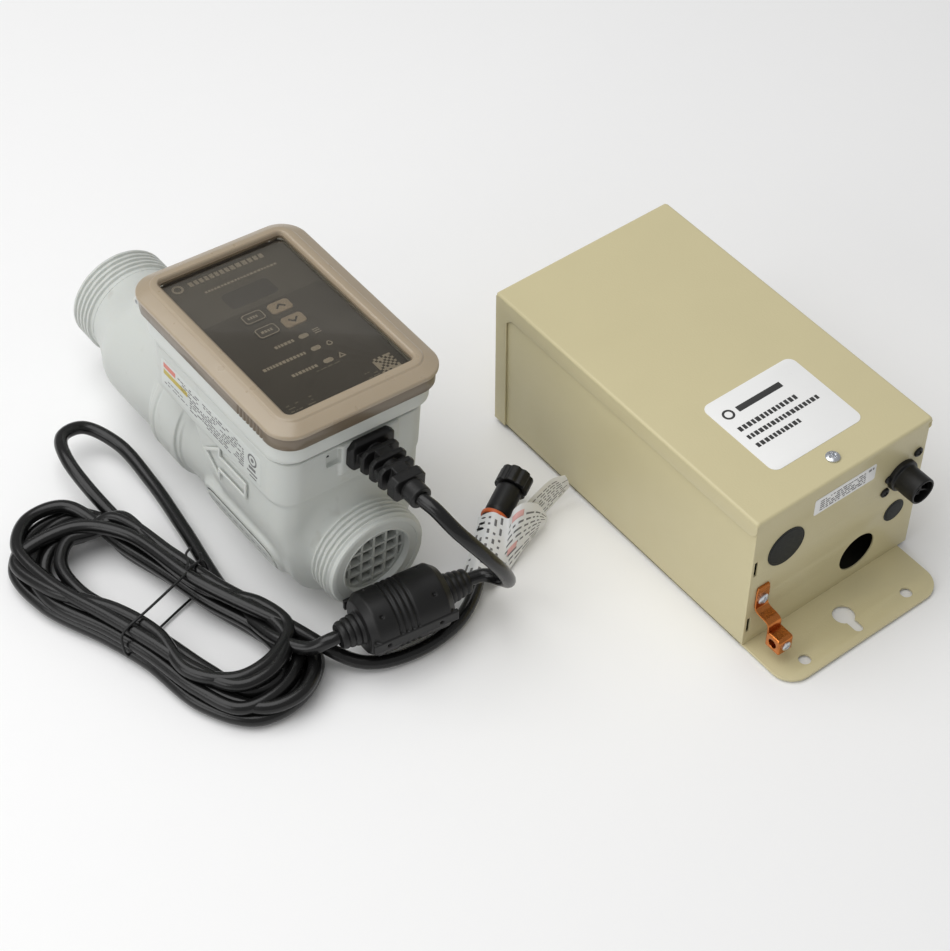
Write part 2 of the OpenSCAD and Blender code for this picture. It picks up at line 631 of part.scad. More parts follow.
// Paper tag: one leaf lies over the cable and the end of the plug, the others stand beside it on the floor
tag_t = 0.4;
tag_h = 26;
module cable_tag() color([0.93, 0.93, 0.92]) translate([plug_at.x, plug_at.y, floor_z + tag_t])
    rotate([0, 0, plug_turn]) {
        translate([6, 0, 31.1]) rotate([0, -12, 0]) translate([-53, -22, 0]) cube([53, 32, tag_t]);
        translate([-44, -21, 0]) rotate([0, 0, -3.7]) cube([82, tag_t, tag_h]);
        translate([18, -22, 0]) rotate([0, 0, -14.6]) cube([47.5, tag_t, tag_h - 4]);
    }

// ---------- power supply ----------

keyhole_at = [76.5, -22.6];
slot_end = [76.5, -37];
hole_y = -35;
hole_x = [28, 125];
module back_plate() color([0.72, 0.66, 0.52]) on_supply() difference() {
    translate([76.5, (supply_l - flange_reach) / 2, 0]) slab(148, supply_l + flange_reach - 4, 17, 0, 2);
    for (x = hole_x) translate([x, hole_y, -1]) cylinder(r = 4.8, h = 4);
    translate([keyhole_at.x, keyhole_at.y, -1]) cylinder(r = 8.5, h = 4);
    translate([slot_end.x, slot_end.y, -1]) cylinder(r = 4, h = 4);
    translate([slot_end.x - 4, slot_end.y, -1]) cube([8, keyhole_at.y - slot_end.y, 4]);
}

shell_x0 = lip_t + shell_gap;
shell_x1 = supply_w - shell_x0;
shell_top = supply_h - sheet_t - 0.1;
shell_y1 = supply_l - sheet_t - 0.1;
module front_hole(x, z, r) translate([x, -1, z]) rotate([-90, 0, 0]) cylinder(r = r, h = sheet_t + 2);
module case_shell() color([0.68, 0.62, 0.5]) on_supply() difference() {
    union() {
        box_between([shell_x0, 0, 2], [shell_x1, shell_y1, 2 + sheet_t]);
        box_between([shell_x0, 0, 2], [shell_x1, sheet_t, shell_top]);
        for (x = [shell_x0, shell_x1 - sheet_t]) box_between([x, 0, 2], [x + sheet_t, shell_y1, shell_top]);
        // Tab for the lid screw and the flanges that stiffen the rear
        box_between([60, 0, shell_top - sheet_t], [100, 24, shell_top]);
        box_between([shell_x0, shell_y1 - sheet_t, 2], [shell_x1, shell_y1, 14]);
    }
    front_hole(front_holes_open[0], front_holes_open[1], front_holes_open[2]);
    for (h = front_holes_shut) front_hole(h[0], h[1], h[2]);
    front_hole(receptacle_at.x, receptacle_at.y, receptacle_r + 0.3);
    for (p = receptacle_screw_at) front_hole(receptacle_at.x + p.x, receptacle_at.y + p.y, 2.1);
    front_hole(strap_x, 46, 2.1);
    translate([lid_screw_at.x, lid_screw_at.y, shell_top - 5]) cylinder(r = 2.2, h = 10);
    for (z = [81, 22]) translate([shell_x0 + sheet_t, -1, z - 7.5]) cube([3.4, sheet_t + 2, 15]);
}

module hole_plugs() color([0.1, 0.12, 0.11]) on_supply() for (h = front_holes_shut)
    translate([h[0], 0, h[1]]) rotate([-90, 0, 0]) {
        translate([0, 0, -0.5]) cylinder(r = h[2] - 0.1, h = sheet_t + 0.6);
        translate([0, 0, sheet_t + 0.05]) cylinder(r = h[2] + 1.5, h = 1.5);
    }

module receptacle() color([0.06, 0.06, 0.06]) on_supply() translate([receptacle_at.x, 0, receptacle_at.y])
    rotate([-90, 0, 0]) difference() {
        union() {
            translate([0, 0, -22]) cylinder(r = receptacle_r, h = 30);
            translate([0, 0, -4]) cylinder(r = receptacle_r + 0.2, h = 8);
            for (p = receptacle_screw_at)
                translate([p.x, -p.y, sheet_t + 0.05]) cylinder(r = 5, h = 3);
            translate([0, 0, sheet_t + 0.05]) rotate([0, 0, -atan2(13, 13.9)])
                translate([-18, -5, 0]) cube([36, 10, 3]);
            translate([0, 0, 7]) cylinder(r = 7, h = 12);
        }
        translate([0, 0, -23]) difference() {
            cylinder(r = receptacle_r - 2, h = 14);
            for (a = [90, 210, 330]) rotate([0, 0, a]) translate([0, -0.7, 0]) cube([12, 1.4, 20]);
        }
        for (p = receptacle_screw_at) translate([p.x, -p.y, 0]) cylinder(r = 2, h = 20);
    }

module receptacle_screws() color([0.05, 0.05, 0.05]) on_supply() for (p = receptacle_screw_at)
    translate([receptacle_at.x + p.x, 0, receptacle_at.y + p.y]) rotate([90, 0, 0]) pan_screw(3.4, 2, 1.8, 8);

module rating_label() color([0.85, 0.84, 0.8]) on_supply() box_between([54, -0.3, 101], [110, 0, 116]);

module ground_strap() color([0.75, 0.4, 0.2]) on_supply() difference() {
    union() {
        box_between([strap_x - 6, -1.6, 36], [strap_x + 6, -0.1, 59]);
        box_between([strap_x - 6, -lug_out - 2, 34.5], [strap_x + 6, -0.1, 36]);
        box_between([strap_x - 6, -lug_out - 2, 27], [strap_x + 6, -lug_out - 0.5, 36]);
    }
    translate([strap_x, -2, 46]) rotate([-90, 0, 0]) cylinder(r = 2.1, h = 3);
}

module ground_lug() color([0.78, 0.42, 0.22]) on_supply() difference() {
    box_between([strap_x - 6, -lug_out - lug_l, 13], [strap_x + 7, -lug_out, 27]);
    translate([strap_x + 0.5, -lug_out - 6, 20]) along_x(-10, 10, 3.6);
    translate([strap_x + 0.5, -lug_out - 8, 20]) rotate([90, 0, 0]) cylinder(r = 2.55, h = 10);
}

module ground_screws() color([0.75, 0.75, 0.77]) on_supply()
    translate([strap_x, -1.6, 46]) rotate([90, 0, 0]) pan_screw(4.4, 2.6, 2, 7);

module lug_screw() color([0.75, 0.75, 0.77]) on_supply()
    translate([strap_x + 0.5, -lug_out - lug_l, 20]) rotate([90, 0, 0]) pan_screw(3.8, 1.8, 2.5, 3.5);

module case_lid() color([0.8, 0.75, 0.6]) on_supply() difference() {
    union() {
        box_between([0, -1, supply_h - sheet_t], [supply_w, supply_l, supply_h]);
        box_between([0, supply_l - sheet_t, 2.2], [supply_w, supply_l, supply_h]);
        for (x = [0, supply_w - lip_t]) {
            box_between([x, 8, supply_h - 15], [x + lip_t, supply_l, supply_h]);
            translate([0, 8, supply_h - 7.5]) along_x(x, x + lip_t, 7.5);
            box_between([x, -1, supply_h - 7.5], [x + lip_t, 9, supply_h]);
            box_between([x, supply_l - 12, 2.2], [x + lip_t, supply_l, supply_h - 10]);
        }
    }
    translate([lid_screw_at.x, lid_screw_at.y, supply_h - 5]) cylinder(r = 2.1, h = 10);
}

module lid_label() color([0.95, 0.95, 0.94]) on_supply() translate([81, 64, 0])
    slab(82, 74, 6, supply_h, supply_h + 0.3);

module lid_screw() color([0.75, 0.77, 0.8]) on_supply() translate([lid_screw_at.x, lid_screw_at.y, supply_h])
    pan_screw(5.2, 2.6, 2, 9);

// Transformer: a laminated core round the winding, on two feet
core_at = [30, 150, 2 + sheet_t];
core_size = [96, 64, 80];
module transformer_core() color([0.4, 0.41, 0.43]) on_supply() translate(core_at) difference() {
    cube(core_size);
    for (x = [16, 64]) translate([x, -1, 16]) cube([16, core_size.y + 2, 48]);
    for (x = [8, 88], z = [8, 72]) translate([x, -1, z]) rotate([-90, 0, 0]) cylinder(r = 2.6, h = 80);
}
module transformer_winding() color([0.7, 0.38, 0.18]) on_supply() translate(core_at) difference() {
    translate([16.3, -12, 16.3]) cube([63.4, core_size.y + 24, 47.4]);
    translate([31.7, -0.3, 0]) cube([32.6, core_size.y + 0.6, 80]);
}
module transformer_feet() color([0.6, 0.6, 0.62]) on_supply() translate(core_at) for (s = [0, 1])
    translate([0, s * core_size.y, 0]) mirror([0, 1 - s, 0]) difference() {
        union() {
            cube([core_size.x, 12, 2]);
            cube([core_size.x, 2, 14]);
        }
        for (x = [8, 88]) {
            translate([x, -1, 8]) rotate([-90, 0, 0]) cylinder(r = 2.6, h = 4);
            translate([x, 7, -1]) cylinder(r = 2.2, h = 4);
        }
    }
module transformer_bolts() color([0.75, 0.75, 0.77]) on_supply() translate(core_at)
    for (x = [8, 88], z = [8, 72]) translate([x, 0, z]) rotate([-90, 0, 0]) {
        t = z == 8 ? 2 : 0;
        translate([0, 0, -t - 3]) cylinder(r = 4.5, h = 3, $fn = 6);
        translate([0, 0, -t - eps]) cylinder(r = 2.5, h = core_size.y + 2 * t + 6);
        translate([0, 0, core_size.y + t]) cylinder(r = 4.5, h = 3.4, $fn = 6);
    }

pcb_at = [22, 44, 17];
module power_board() color([0.12, 0.36, 0.22]) on_supply() translate(pcb_at) difference() {
    union() {
        cube([116, 78, 1.6]);
        for (x = [16, 40]) translate([x, 58, 1.5]) cylinder(r = 9, h = 32);
        translate([62, 46, 1.5]) cube([20, 24, 17]);
        translate([88, 8, 1.5]) cube([18, 60, 3]);
        for (i = [0 : 3]) translate([90 + i * 4, 10, 4]) cube([1.5, 56, 18]);
        translate([56, 8, 1.5]) cube([24, 10, 9]);
    }
    for (x = [6, 110], y = [6, 72]) translate([x, y, -1]) cylinder(r = 1.7, h = 4);
}
module board_standoffs() color([0.8, 0.68, 0.35]) on_supply() for (x = [6, 110], y = [6, 72])
    translate([pcb_at.x + x, pcb_at.y + y, 2 + sheet_t]) {
        cylinder(r = 3, h = pcb_at.z - 2 - sheet_t, $fn = 6);
        cylinder(r = 1.6, h = 17);
        translate([0, 0, pcb_at.z + 1.6 - 2 - sheet_t]) cylinder(r = 3, h = 2);
    }
module rectifier() color([0.15, 0.15, 0.16]) on_supply() translate([128, 232, 2 + sheet_t]) difference() {
    cube([26, 26, 11]);
    translate([13, 13, -1]) cylinder(r = 2.3, h = 20);
}
module terminal_block() color([0.2, 0.2, 0.2]) on_supply() translate([24, 8, 2 + sheet_t]) difference() {
    cube([62, 18, 16]);
    for (i = [0 : 4]) translate([3 + i * 12, -1, 9]) cube([9, 20, 8]);
}
module supply_wires() color([0.1, 0.1, 0.4]) on_supply() {
    rod(curve([[138, 22, 87], [136, 34, 84], [128, 44, 60], [121, 50, 40]], 5), 1.6, 6);
    rod(curve([[36, 28, 12], [32, 36, 30], [22, 60, 46], [30, 110, 52], [52, 135.8, 50]], 5), 1.6, 6);
    rod(curve([[72, 28, 12], [70, 34, 20], [71, 39, 27], [76, 50, 30]], 4), 1.6, 6);
    rod(curve([[104, 227.8, 50], [118, 236, 44], [134, 245, 30], [134, 245, 15.4]], 5), 1.6, 6);
}

cell_body();
service_plate();
inlet_grid();
outlet_grid();
anode_plates();
cathode_plates();
plate_combs();
terminal_rods();
potting_block();
temperature_probe();
flow_switch();
flow_paddle();
paddle_pin();
head_gasket();
control_housing();
housing_screws();
control_board();
board_screws();
display_module();
light_pipes();
control_panel();
setup_button();
boost_button();
up_button();
down_button();
panel_cover();
hinge_pins();
side_label();
strain_relief();
main_cable();
ferrite_housing();
ferrite_core();
cable_tie();
plug_body();
plug_contacts();
plug_seal();
plug_nut();
cable_tag();
back_plate();
case_shell();
hole_plugs();
receptacle();
receptacle_screws();
rating_label();
ground_strap();
ground_lug();
ground_screws();
lug_screw();
case_lid();
lid_label();
lid_screw();
transformer_core();
transformer_winding();
transformer_feet();
transformer_bolts();
power_board();
board_standoffs();
rectifier();
terminal_block();
supply_wires();
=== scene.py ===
"""Looks of a salt chlorine generator: the pipe cell with its control head, cable and plug, and its power
supply.

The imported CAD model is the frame. Visible pieces are rebuilt here in mesh code at the places the frame gives,
and ride on the frame's bodies. All shapes are written in millimetres in a part's own axes, and a "place"
matrix puts them in the row frame.
"""
import json
import math
import random

import bmesh
import bpy
import numpy as np
import openvdb
from mathutils import Matrix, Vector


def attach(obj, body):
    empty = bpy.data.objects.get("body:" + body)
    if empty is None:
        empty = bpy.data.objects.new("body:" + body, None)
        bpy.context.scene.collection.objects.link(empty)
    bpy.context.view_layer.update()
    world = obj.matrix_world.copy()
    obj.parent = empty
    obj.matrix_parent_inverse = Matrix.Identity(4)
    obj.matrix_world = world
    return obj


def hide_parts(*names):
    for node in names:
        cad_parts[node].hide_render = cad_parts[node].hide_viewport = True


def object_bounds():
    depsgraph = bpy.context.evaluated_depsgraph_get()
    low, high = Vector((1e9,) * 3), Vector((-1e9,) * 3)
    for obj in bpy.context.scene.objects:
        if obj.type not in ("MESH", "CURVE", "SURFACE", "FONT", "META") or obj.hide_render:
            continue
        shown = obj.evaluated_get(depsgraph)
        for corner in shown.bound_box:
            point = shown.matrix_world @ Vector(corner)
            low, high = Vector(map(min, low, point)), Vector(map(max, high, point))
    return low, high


MM = 0.001
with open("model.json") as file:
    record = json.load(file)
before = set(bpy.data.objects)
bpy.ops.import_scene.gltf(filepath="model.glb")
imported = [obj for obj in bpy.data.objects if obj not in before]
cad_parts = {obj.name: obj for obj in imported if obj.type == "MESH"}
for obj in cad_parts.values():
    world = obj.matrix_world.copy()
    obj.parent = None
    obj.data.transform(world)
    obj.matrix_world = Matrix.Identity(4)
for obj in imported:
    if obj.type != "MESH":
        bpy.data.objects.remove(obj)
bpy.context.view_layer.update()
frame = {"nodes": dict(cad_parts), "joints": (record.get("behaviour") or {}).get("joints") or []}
rng = random.Random(7)


# ---------------------------------------------------------------- places

def turned(axis, degrees):
    """Rotation about one axis, as a 4 x 4 matrix."""
    return np.array(Matrix.Rotation(math.radians(degrees), 4, axis))


def shifted(x, y, z):
    m = np.eye(4)
    m[:3, 3] = (x, y, z)
    return m


def moved(points, place):
    return np.asarray(points, float) @ place[:3, :3].T + place[:3, 3]


def local_box(node, place=np.eye(4)):
    """Lowest and highest corner of a CAD node in the axes of a place, in millimetres."""
    mesh = frame["nodes"][node].data
    co = np.empty(len(mesh.vertices) * 3, np.float32)
    mesh.vertices.foreach_get("co", co)
    points = moved(co.reshape(-1, 3) / MM, np.linalg.inv(place))
    return points.min(0), points.max(0)


def middle(node, place=np.eye(4)):
    lo, hi = local_box(node, place)
    return (lo + hi) / 2


press = next(j for j in frame["joints"] if j["name"] == "setup_press")["axis"]
CELL = turned("Y", math.degrees(math.atan2(-press[0], -press[2])))
floor_z = local_box("back_plate")[0][2]
lid_lo, lid_hi = local_box("case_lid")
front_y = local_box("rating_label")[1][1]
SUPPLY = shifted(lid_lo[0], front_y, floor_z)
FERRITE_TURN, PLUG_TURN, PLUG_TILT, COIL_TURN = 172, 28, 8, 16
FERRITE = shifted(*middle("ferrite_core")) @ turned("Z", FERRITE_TURN) @ turned("Y", 90)
PLUG_L, NUT_MIDDLE = 44, 38.1
plug_turns = turned("Z", PLUG_TURN) @ turned("Y", 90 - PLUG_TILT)
PLUG = shifted(*(middle("plug_nut") - plug_turns[:3, 2] * NUT_MIDDLE)) @ plug_turns

body_hi = local_box("cell_body", CELL)[1]
rim_lo, rim_hi = local_box("control_housing", CELL)
gasket_lo, gasket_hi = local_box("head_gasket", CELL)
panel_lo, panel_hi = local_box("control_panel", CELL)
cover_lo, cover_hi = local_box("panel_cover", CELL)
pins_lo, pins_hi = local_box("hinge_pins", CELL)
gland_lo, gland_hi = local_box("strain_relief", CELL)


# ---------------------------------------------------------------- mesh helpers

def piece(name, geometry, look, body, place=None, stands_for=(), sharp=38):
    """Makes an object from (points in mm, faces), puts it at its place and lets it ride on a body."""
    points, faces = geometry
    points = moved(points, np.eye(4) if place is None else place) * MM
    mesh = bpy.data.meshes.new(name)
    if isinstance(faces, np.ndarray):
        count, corners = faces.shape
        mesh.vertices.add(len(points))
        mesh.vertices.foreach_set("co", points.astype(np.float32).ravel())
        mesh.loops.add(count * corners)
        mesh.loops.foreach_set("vertex_index", faces.astype(np.int32).ravel())
        mesh.polygons.add(count)
        mesh.polygons.foreach_set("loop_start", np.arange(0, count * corners, corners, dtype=np.int32))
        mesh.update(calc_edges=True)
    else:
        mesh.from_pydata([tuple(p) for p in points], [], [tuple(f) for f in faces])
    mesh.validate()
    bm = bmesh.new()
    bm.from_mesh(mesh)
    bmesh.ops.recalc_face_normals(bm, faces=bm.faces)
    if bm.calc_volume(signed=True) < 0:
        bmesh.ops.reverse_faces(bm, faces=bm.faces)
    bm.to_mesh(mesh)
    bm.free()
    mesh.polygons.foreach_set("use_smooth", np.ones(len(mesh.polygons), bool))
    if sharp:
        mesh.set_sharp_from_angle(angle=math.radians(sharp))
    mesh.materials.append(look)
    obj = bpy.data.objects.new(name, mesh)
    bpy.context.scene.collection.objects.link(obj)
    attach(obj, body)
    if stands_for:
        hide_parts(*stands_for)
    return obj


def joined(*parts):
    """One geometry from several."""
    points, faces, base = [], [], 0
    for p, f in parts:
        p = np.asarray(p, float)
        points.append(p)
        faces += [tuple(int(i) + base for i in face) for face in f]
        base += len(p)
    return np.vstack(points), faces


def placed(geometry, place):
    return moved(geometry[0], place), geometry[1]


def loft(rings, loop=False, caps=True):
    """Skin over rings that all have the same number of points."""
    n = len(rings[0])
    count = len(rings)
    faces = []
    for i in range(count if loop else count - 1):
        a, b = i * n, (i + 1) % count * n
        faces += [(a + j, a + (j + 1) % n, b + (j + 1) % n, b + j) for j in range(n)]
    if caps and not loop:
        faces.append(tuple(range(n - 1, -1, -1)))
        faces.append(tuple(range((count - 1) * n, count * n)))
    return np.vstack(rings), faces


def soften(profile, size, steps=3, loop=False):
    """Rounds every corner of a polyline of any dimension with a short curve."""
    p = [np.asarray(q, float) for q in profile]
    out = [] if loop else [p[0]]
    count = len(p)
    for i in range(count) if loop else range(1, count - 1):
        a, b, c = p[i - 1], p[i], p[(i + 1) % count]
        la, lc = np.linalg.norm(a - b), np.linalg.norm(c - b)
        if la < 1e-6 or lc < 1e-6:
            out.append(b)
            continue
        s = b + (a - b) * min(0.45, size / la)
        e = b + (c - b) * min(0.45, size / lc)
        for k in range(steps + 1):
            t = k / steps
            out.append((1 - t) ** 2 * s + 2 * t * (1 - t) * b + t * t * e)
    if not loop:
        out.append(p[-1])
    return out


def round_rect(w, l, r, n=8, cx=0.0, cy=0.0):
    r = max(0.01, min(r, w / 2 - 0.01, l / 2 - 0.01))
    points = []
    for sx, sy, start in ((1, 1, 0), (-1, 1, 90), (-1, -1, 180), (1, -1, 270)):
        for i in range(n + 1):
            a = math.radians(start + 90 * i / n)
            points.append((cx + sx * (w / 2 - r) + r * math.cos(a), cy + sy * (l / 2 - r) + r * math.sin(a)))
    return np.array(points)


def plan_loft(profile, loop=False, caps=True, n=10, cx=0.0):
    """Skin over round rectangles; each row of the profile is (width, length, corner radius, y, z)."""
    rings = []
    for w, l, r, cy, z in profile:
        flat = round_rect(w, l, r, n, cx, cy)
        rings.append(np.column_stack([flat, np.full(len(flat), z)]))
    return loft(rings, loop, caps)


def full_circle(steps):
    return np.linspace(0, 2 * math.pi, steps, endpoint=False)


def lathe(profile, sides=72, loop=False):
    """Skin of revolution about Z; each row of the profile is (radius, z)."""
    a = full_circle(sides)
    rings = [np.column_stack([r * np.cos(a), r * np.sin(a), np.full(sides, z)]) for r, z in profile]
    return loft(rings, loop, True)


def tube(path, radius, sides=16, caps=True):
    """Round tube along a path; radius is one number or one per point."""
    p = np.asarray(path, float)
    r = np.broadcast_to(np.asarray(radius, float), (len(p),))
    tangent = np.gradient(p, axis=0)
    tangent /= np.linalg.norm(tangent, axis=1)[:, None]
    normal = np.cross(tangent[0], (0.31, 0.17, 0.93))
    a = full_circle(sides)
    rings = []
    for i in range(len(p)):
        normal = normal - tangent[i] * (normal @ tangent[i])
        normal /= np.linalg.norm(normal)
        side = np.cross(tangent[i], normal)
        rings.append(p[i] + r[i] * (np.outer(np.cos(a), normal) + np.outer(np.sin(a), side)))
    return loft(rings, False, caps)


def blend(a, b, knot_a, knot_b, t):
    """The point at t on the line that passes a at knot_a and b at knot_b."""
    return ((knot_b - t) * a + (t - knot_a) * b) / (knot_b - knot_a)


def spline(points, spacing=2.0):
    """Smooth curve through points, sampled at an even spacing."""
    p = np.asarray(points, float)
    knots = np.concatenate([[0], np.cumsum(np.sqrt(np.linalg.norm(np.diff(p, axis=0), axis=1)))])
    ext = np.vstack([2 * p[0] - p[1], p, 2 * p[-1] - p[-2]])
    kx = np.concatenate([[2 * knots[0] - knots[1]], knots, [2 * knots[-1] - knots[-2]]])
    fine = []
    for i in range(1, len(ext) - 2):
        t = np.linspace(kx[i], kx[i + 1], 24, endpoint=False)[:, None]
        a1 = blend(ext[i - 1], ext[i], kx[i - 1], kx[i], t)
        a2 = blend(ext[i], ext[i + 1], kx[i], kx[i + 1], t)
        a3 = blend(ext[i + 1], ext[i + 2], kx[i + 1], kx[i + 2], t)
        b1 = blend(a1, a2, kx[i - 1], kx[i + 1], t)
        b2 = blend(a2, a3, kx[i], kx[i + 2], t)
        fine.append(blend(b1, b2, kx[i], kx[i + 1], t))
    fine = np.vstack(fine + [p[-1:]])
    run = np.concatenate([[0], np.cumsum(np.linalg.norm(np.diff(fine, axis=0), axis=1))])
    at = np.linspace(0, run[-1], max(2, int(run[-1] / spacing)))
    return np.column_stack([np.interp(at, run, fine[:, k]) for k in range(3)])


def plate(outlines, z0, z1, bevel=0.25):
    """Flat sheet between z0 and z1 with softened edges; outlines inside others are holes."""
    curve = bpy.data.curves.new("plate", "CURVE")
    curve.dimensions, curve.fill_mode = "2D", "BOTH"
    bevel = min(bevel, (z1 - z0) / 2.2)
    curve.extrude, curve.bevel_depth, curve.bevel_resolution = (z1 - z0) / 2 - bevel, bevel, 2
    for outline in outlines:
        line = curve.splines.new("POLY")
        line.points.add(len(outline) - 1)
        for point, (x, y) in zip(line.points, outline):
            point.co = (x, y, 0, 1)
        line.use_cyclic_u = True
    obj = bpy.data.objects.new("plate", curve)
    bpy.context.scene.collection.objects.link(obj)
    graph = bpy.context.evaluated_depsgraph_get()
    mesh = bpy.data.meshes.new_from_object(obj.evaluated_get(graph))
    bm = bmesh.new()
    bm.from_mesh(mesh)
    bmesh.ops.remove_doubles(bm, verts=bm.verts, dist=1e-3)
    points = np.array([(v.co.x, v.co.y, v.co.z + (z0 + z1) / 2) for v in bm.verts])
    index = {v: i for i, v in enumerate(bm.verts)}
    faces = [tuple(index[v] for v in f.verts) for f in bm.faces]
    bm.free()
    bpy.data.objects.remove(obj)
    bpy.data.curves.remove(curve)
    bpy.data.meshes.remove(mesh)
    return points, faces


def circle(r, cx=0.0, cy=0.0, n=40):
    return [(cx + r * math.cos(2 * math.pi * i / n), cy + r * math.sin(2 * math.pi * i / n))
            for i in range(n)]


def block(lo, hi, bevel=0.4):
    """Box with rounded edges."""
    lo, hi = np.asarray(lo, float), np.asarray(hi, float)
    w, l = hi[0] - lo[0], hi[1] - lo[1]
    b = min(bevel, w / 2.2, l / 2.2, (hi[2] - lo[2]) / 2.2)
    rows = []
    for k in range(4):
        a = math.pi / 2 * k / 3
        rows.append((w - 2 * b * (1 - math.sin(a)), l - 2 * b * (1 - math.sin(a)),
                     lo[2] + b * (1 - math.cos(a))))
    rows += [(ww, ll, lo[2] + hi[2] - z) for ww, ll, z in reversed(rows)]
    rings = []
    for ww, ll, z in rows:
        flat = round_rect(ww, ll, b, 3, (lo[0] + hi[0]) / 2, (lo[1] + hi[1]) / 2)
        rings.append(np.column_stack([flat, np.full(len(flat), z)]))
    return loft(rings)


# ---------------------------------------------------------------- solids from distance fields

def smooth_min(a, b, k):
    """Union of two fields with a fillet of about k."""
    h = np.clip(0.5 + 0.5 * (b - a) / k, 0, 1)
    return b * (1 - h) + a * h - k * h * (1 - h)


def smooth_max(a, b, k):
    return -smooth_min(-a, -b, k)


def field_box(x, y, z, half, r=0.0):
    """Box about the origin with rounded edges; half holds its half sizes."""
    qx, qy, qz = np.abs(x) - half[0] + r, np.abs(y) - half[1] + r, np.abs(z) - half[2] + r
    outside = np.sqrt(np.maximum(qx, 0) ** 2 + np.maximum(qy, 0) ** 2 + np.maximum(qz, 0) ** 2)
    return outside + np.minimum(np.maximum(np.maximum(qx, qy), qz), 0) - r


def corner_field(a, b, r):
    """Distance to the quarter plane a < 0, b < 0 with a corner of radius r."""
    a, b = a + r, b + r
    return np.sqrt(np.maximum(a, 0) ** 2 + np.maximum(b, 0) ** 2) + np.minimum(np.maximum(a, b), 0) - r


def field_rod(radial, along, r, half, edge=0.0):
    """Round bar about the axis, with rounded end edges."""
    return corner_field(radial - r, np.abs(along) - half, edge)


def moulded(field, lo, hi, voxel):
    """Surface of a distance field between two corners."""
    axes = [np.arange(a, b + voxel, voxel, dtype=np.float32) for a, b in zip(lo, hi)]
    grid_x, grid_y, grid_z = np.meshgrid(*axes, indexing="ij", sparse=True)
    band = 3 * voxel
    values = np.clip(field(grid_x, grid_y, grid_z), -band, band).astype(np.float32)
    grid = openvdb.FloatGrid(band)
    grid.copyFromArray(np.ascontiguousarray(values))
    points, quads = grid.convertToQuads()
    return points * voxel + np.asarray(lo), np.asarray(quads)


# ---------------------------------------------------------------- materials

def new_material(name):
    """An empty node material, its nodes, and the function that links an output to an input."""
    mat = bpy.data.materials.new(name)
    mat.use_nodes = True
    return mat, mat.node_tree.nodes, mat.node_tree.links.new


def add_node(nodes, kind, **settings):
    """A shader node with some inputs set; an input's name is given in lower case with underscores."""
    node = nodes.new("ShaderNode" + kind)
    if kind == "Mix":
        node.data_type = "RGBA"
    for name, value in settings.items():
        node.inputs[name.replace("_", " ").title()].default_value = value
    return node


def look(name, color, rough=0.45, metal=0.0, grain=0.0, grain_scale=1500, mottle=0.03, mottle_scale=40,
         rough_spread=0.08, coat=0.0, glow_through=0.0, streaks=(1, 1, 1), dirt=None, specular=0.5):
    """Procedural finish: colour that varies softly, uneven roughness, and a fine grain as bump."""
    mat, nodes, link = new_material(name)
    shader = nodes["Principled BSDF"]
    settings = {"Metallic": metal, "Coat Weight": coat, "Coat Roughness": 0.12,
                "Specular IOR Level": specular}
    if glow_through:
        settings.update({"Subsurface Weight": glow_through, "Subsurface Radius": (0.004, 0.003, 0.002),
                         "Subsurface Scale": 0.6})
    for input_name, value in settings.items():
        shader.inputs[input_name].default_value = value
    where = nodes.new("ShaderNodeTexCoord").outputs["Object"]
    stretch = add_node(nodes, "Mapping", scale=streaks)
    link(where, stretch.inputs["Vector"])
    soft = add_node(nodes, "TexNoise", scale=mottle_scale, detail=4)
    link(where, soft.inputs["Vector"])
    base = np.array(color)
    tint = add_node(nodes, "Mix", a=(*np.clip(base * (1 - mottle), 0, 1), 1),
                    b=(*np.clip(base * (1 + mottle), 0, 1), 1))
    link(soft.outputs["Fac"], tint.inputs["Factor"])
    color_out = tint.outputs["Result"]
    if dirt:
        specks = add_node(nodes, "TexNoise", scale=dirt["scale"], detail=2)
        link(stretch.outputs["Vector"], specks.inputs["Vector"])
        limits = add_node(nodes, "MapRange", from_min=dirt["from"], from_max=dirt["to"])
        link(specks.outputs["Fac"], limits.inputs["Value"])
        over = add_node(nodes, "Mix", b=(*dirt["color"], 1))
        link(color_out, over.inputs["A"])
        link(limits.outputs["Result"], over.inputs["Factor"])
        color_out = over.outputs["Result"]
    link(color_out, shader.inputs["Base Color"])
    patches = add_node(nodes, "TexNoise", scale=mottle_scale * 3)
    link(stretch.outputs["Vector"], patches.inputs["Vector"])
    uneven = add_node(nodes, "MapRange", to_min=max(0.02, rough - rough_spread),
                      to_max=min(1.0, rough + rough_spread))
    link(patches.outputs["Fac"], uneven.inputs["Value"])
    link(uneven.outputs["Result"], shader.inputs["Roughness"])
    if grain:
        fine = add_node(nodes, "TexNoise", scale=grain_scale, detail=3)
        link(stretch.outputs["Vector"], fine.inputs["Vector"])
        bump = add_node(nodes, "Bump", strength=1.0, distance=grain * MM)
        link(fine.outputs["Fac"], bump.inputs["Height"])
        link(bump.outputs["Normal"], shader.inputs["Normal"])
    return mat


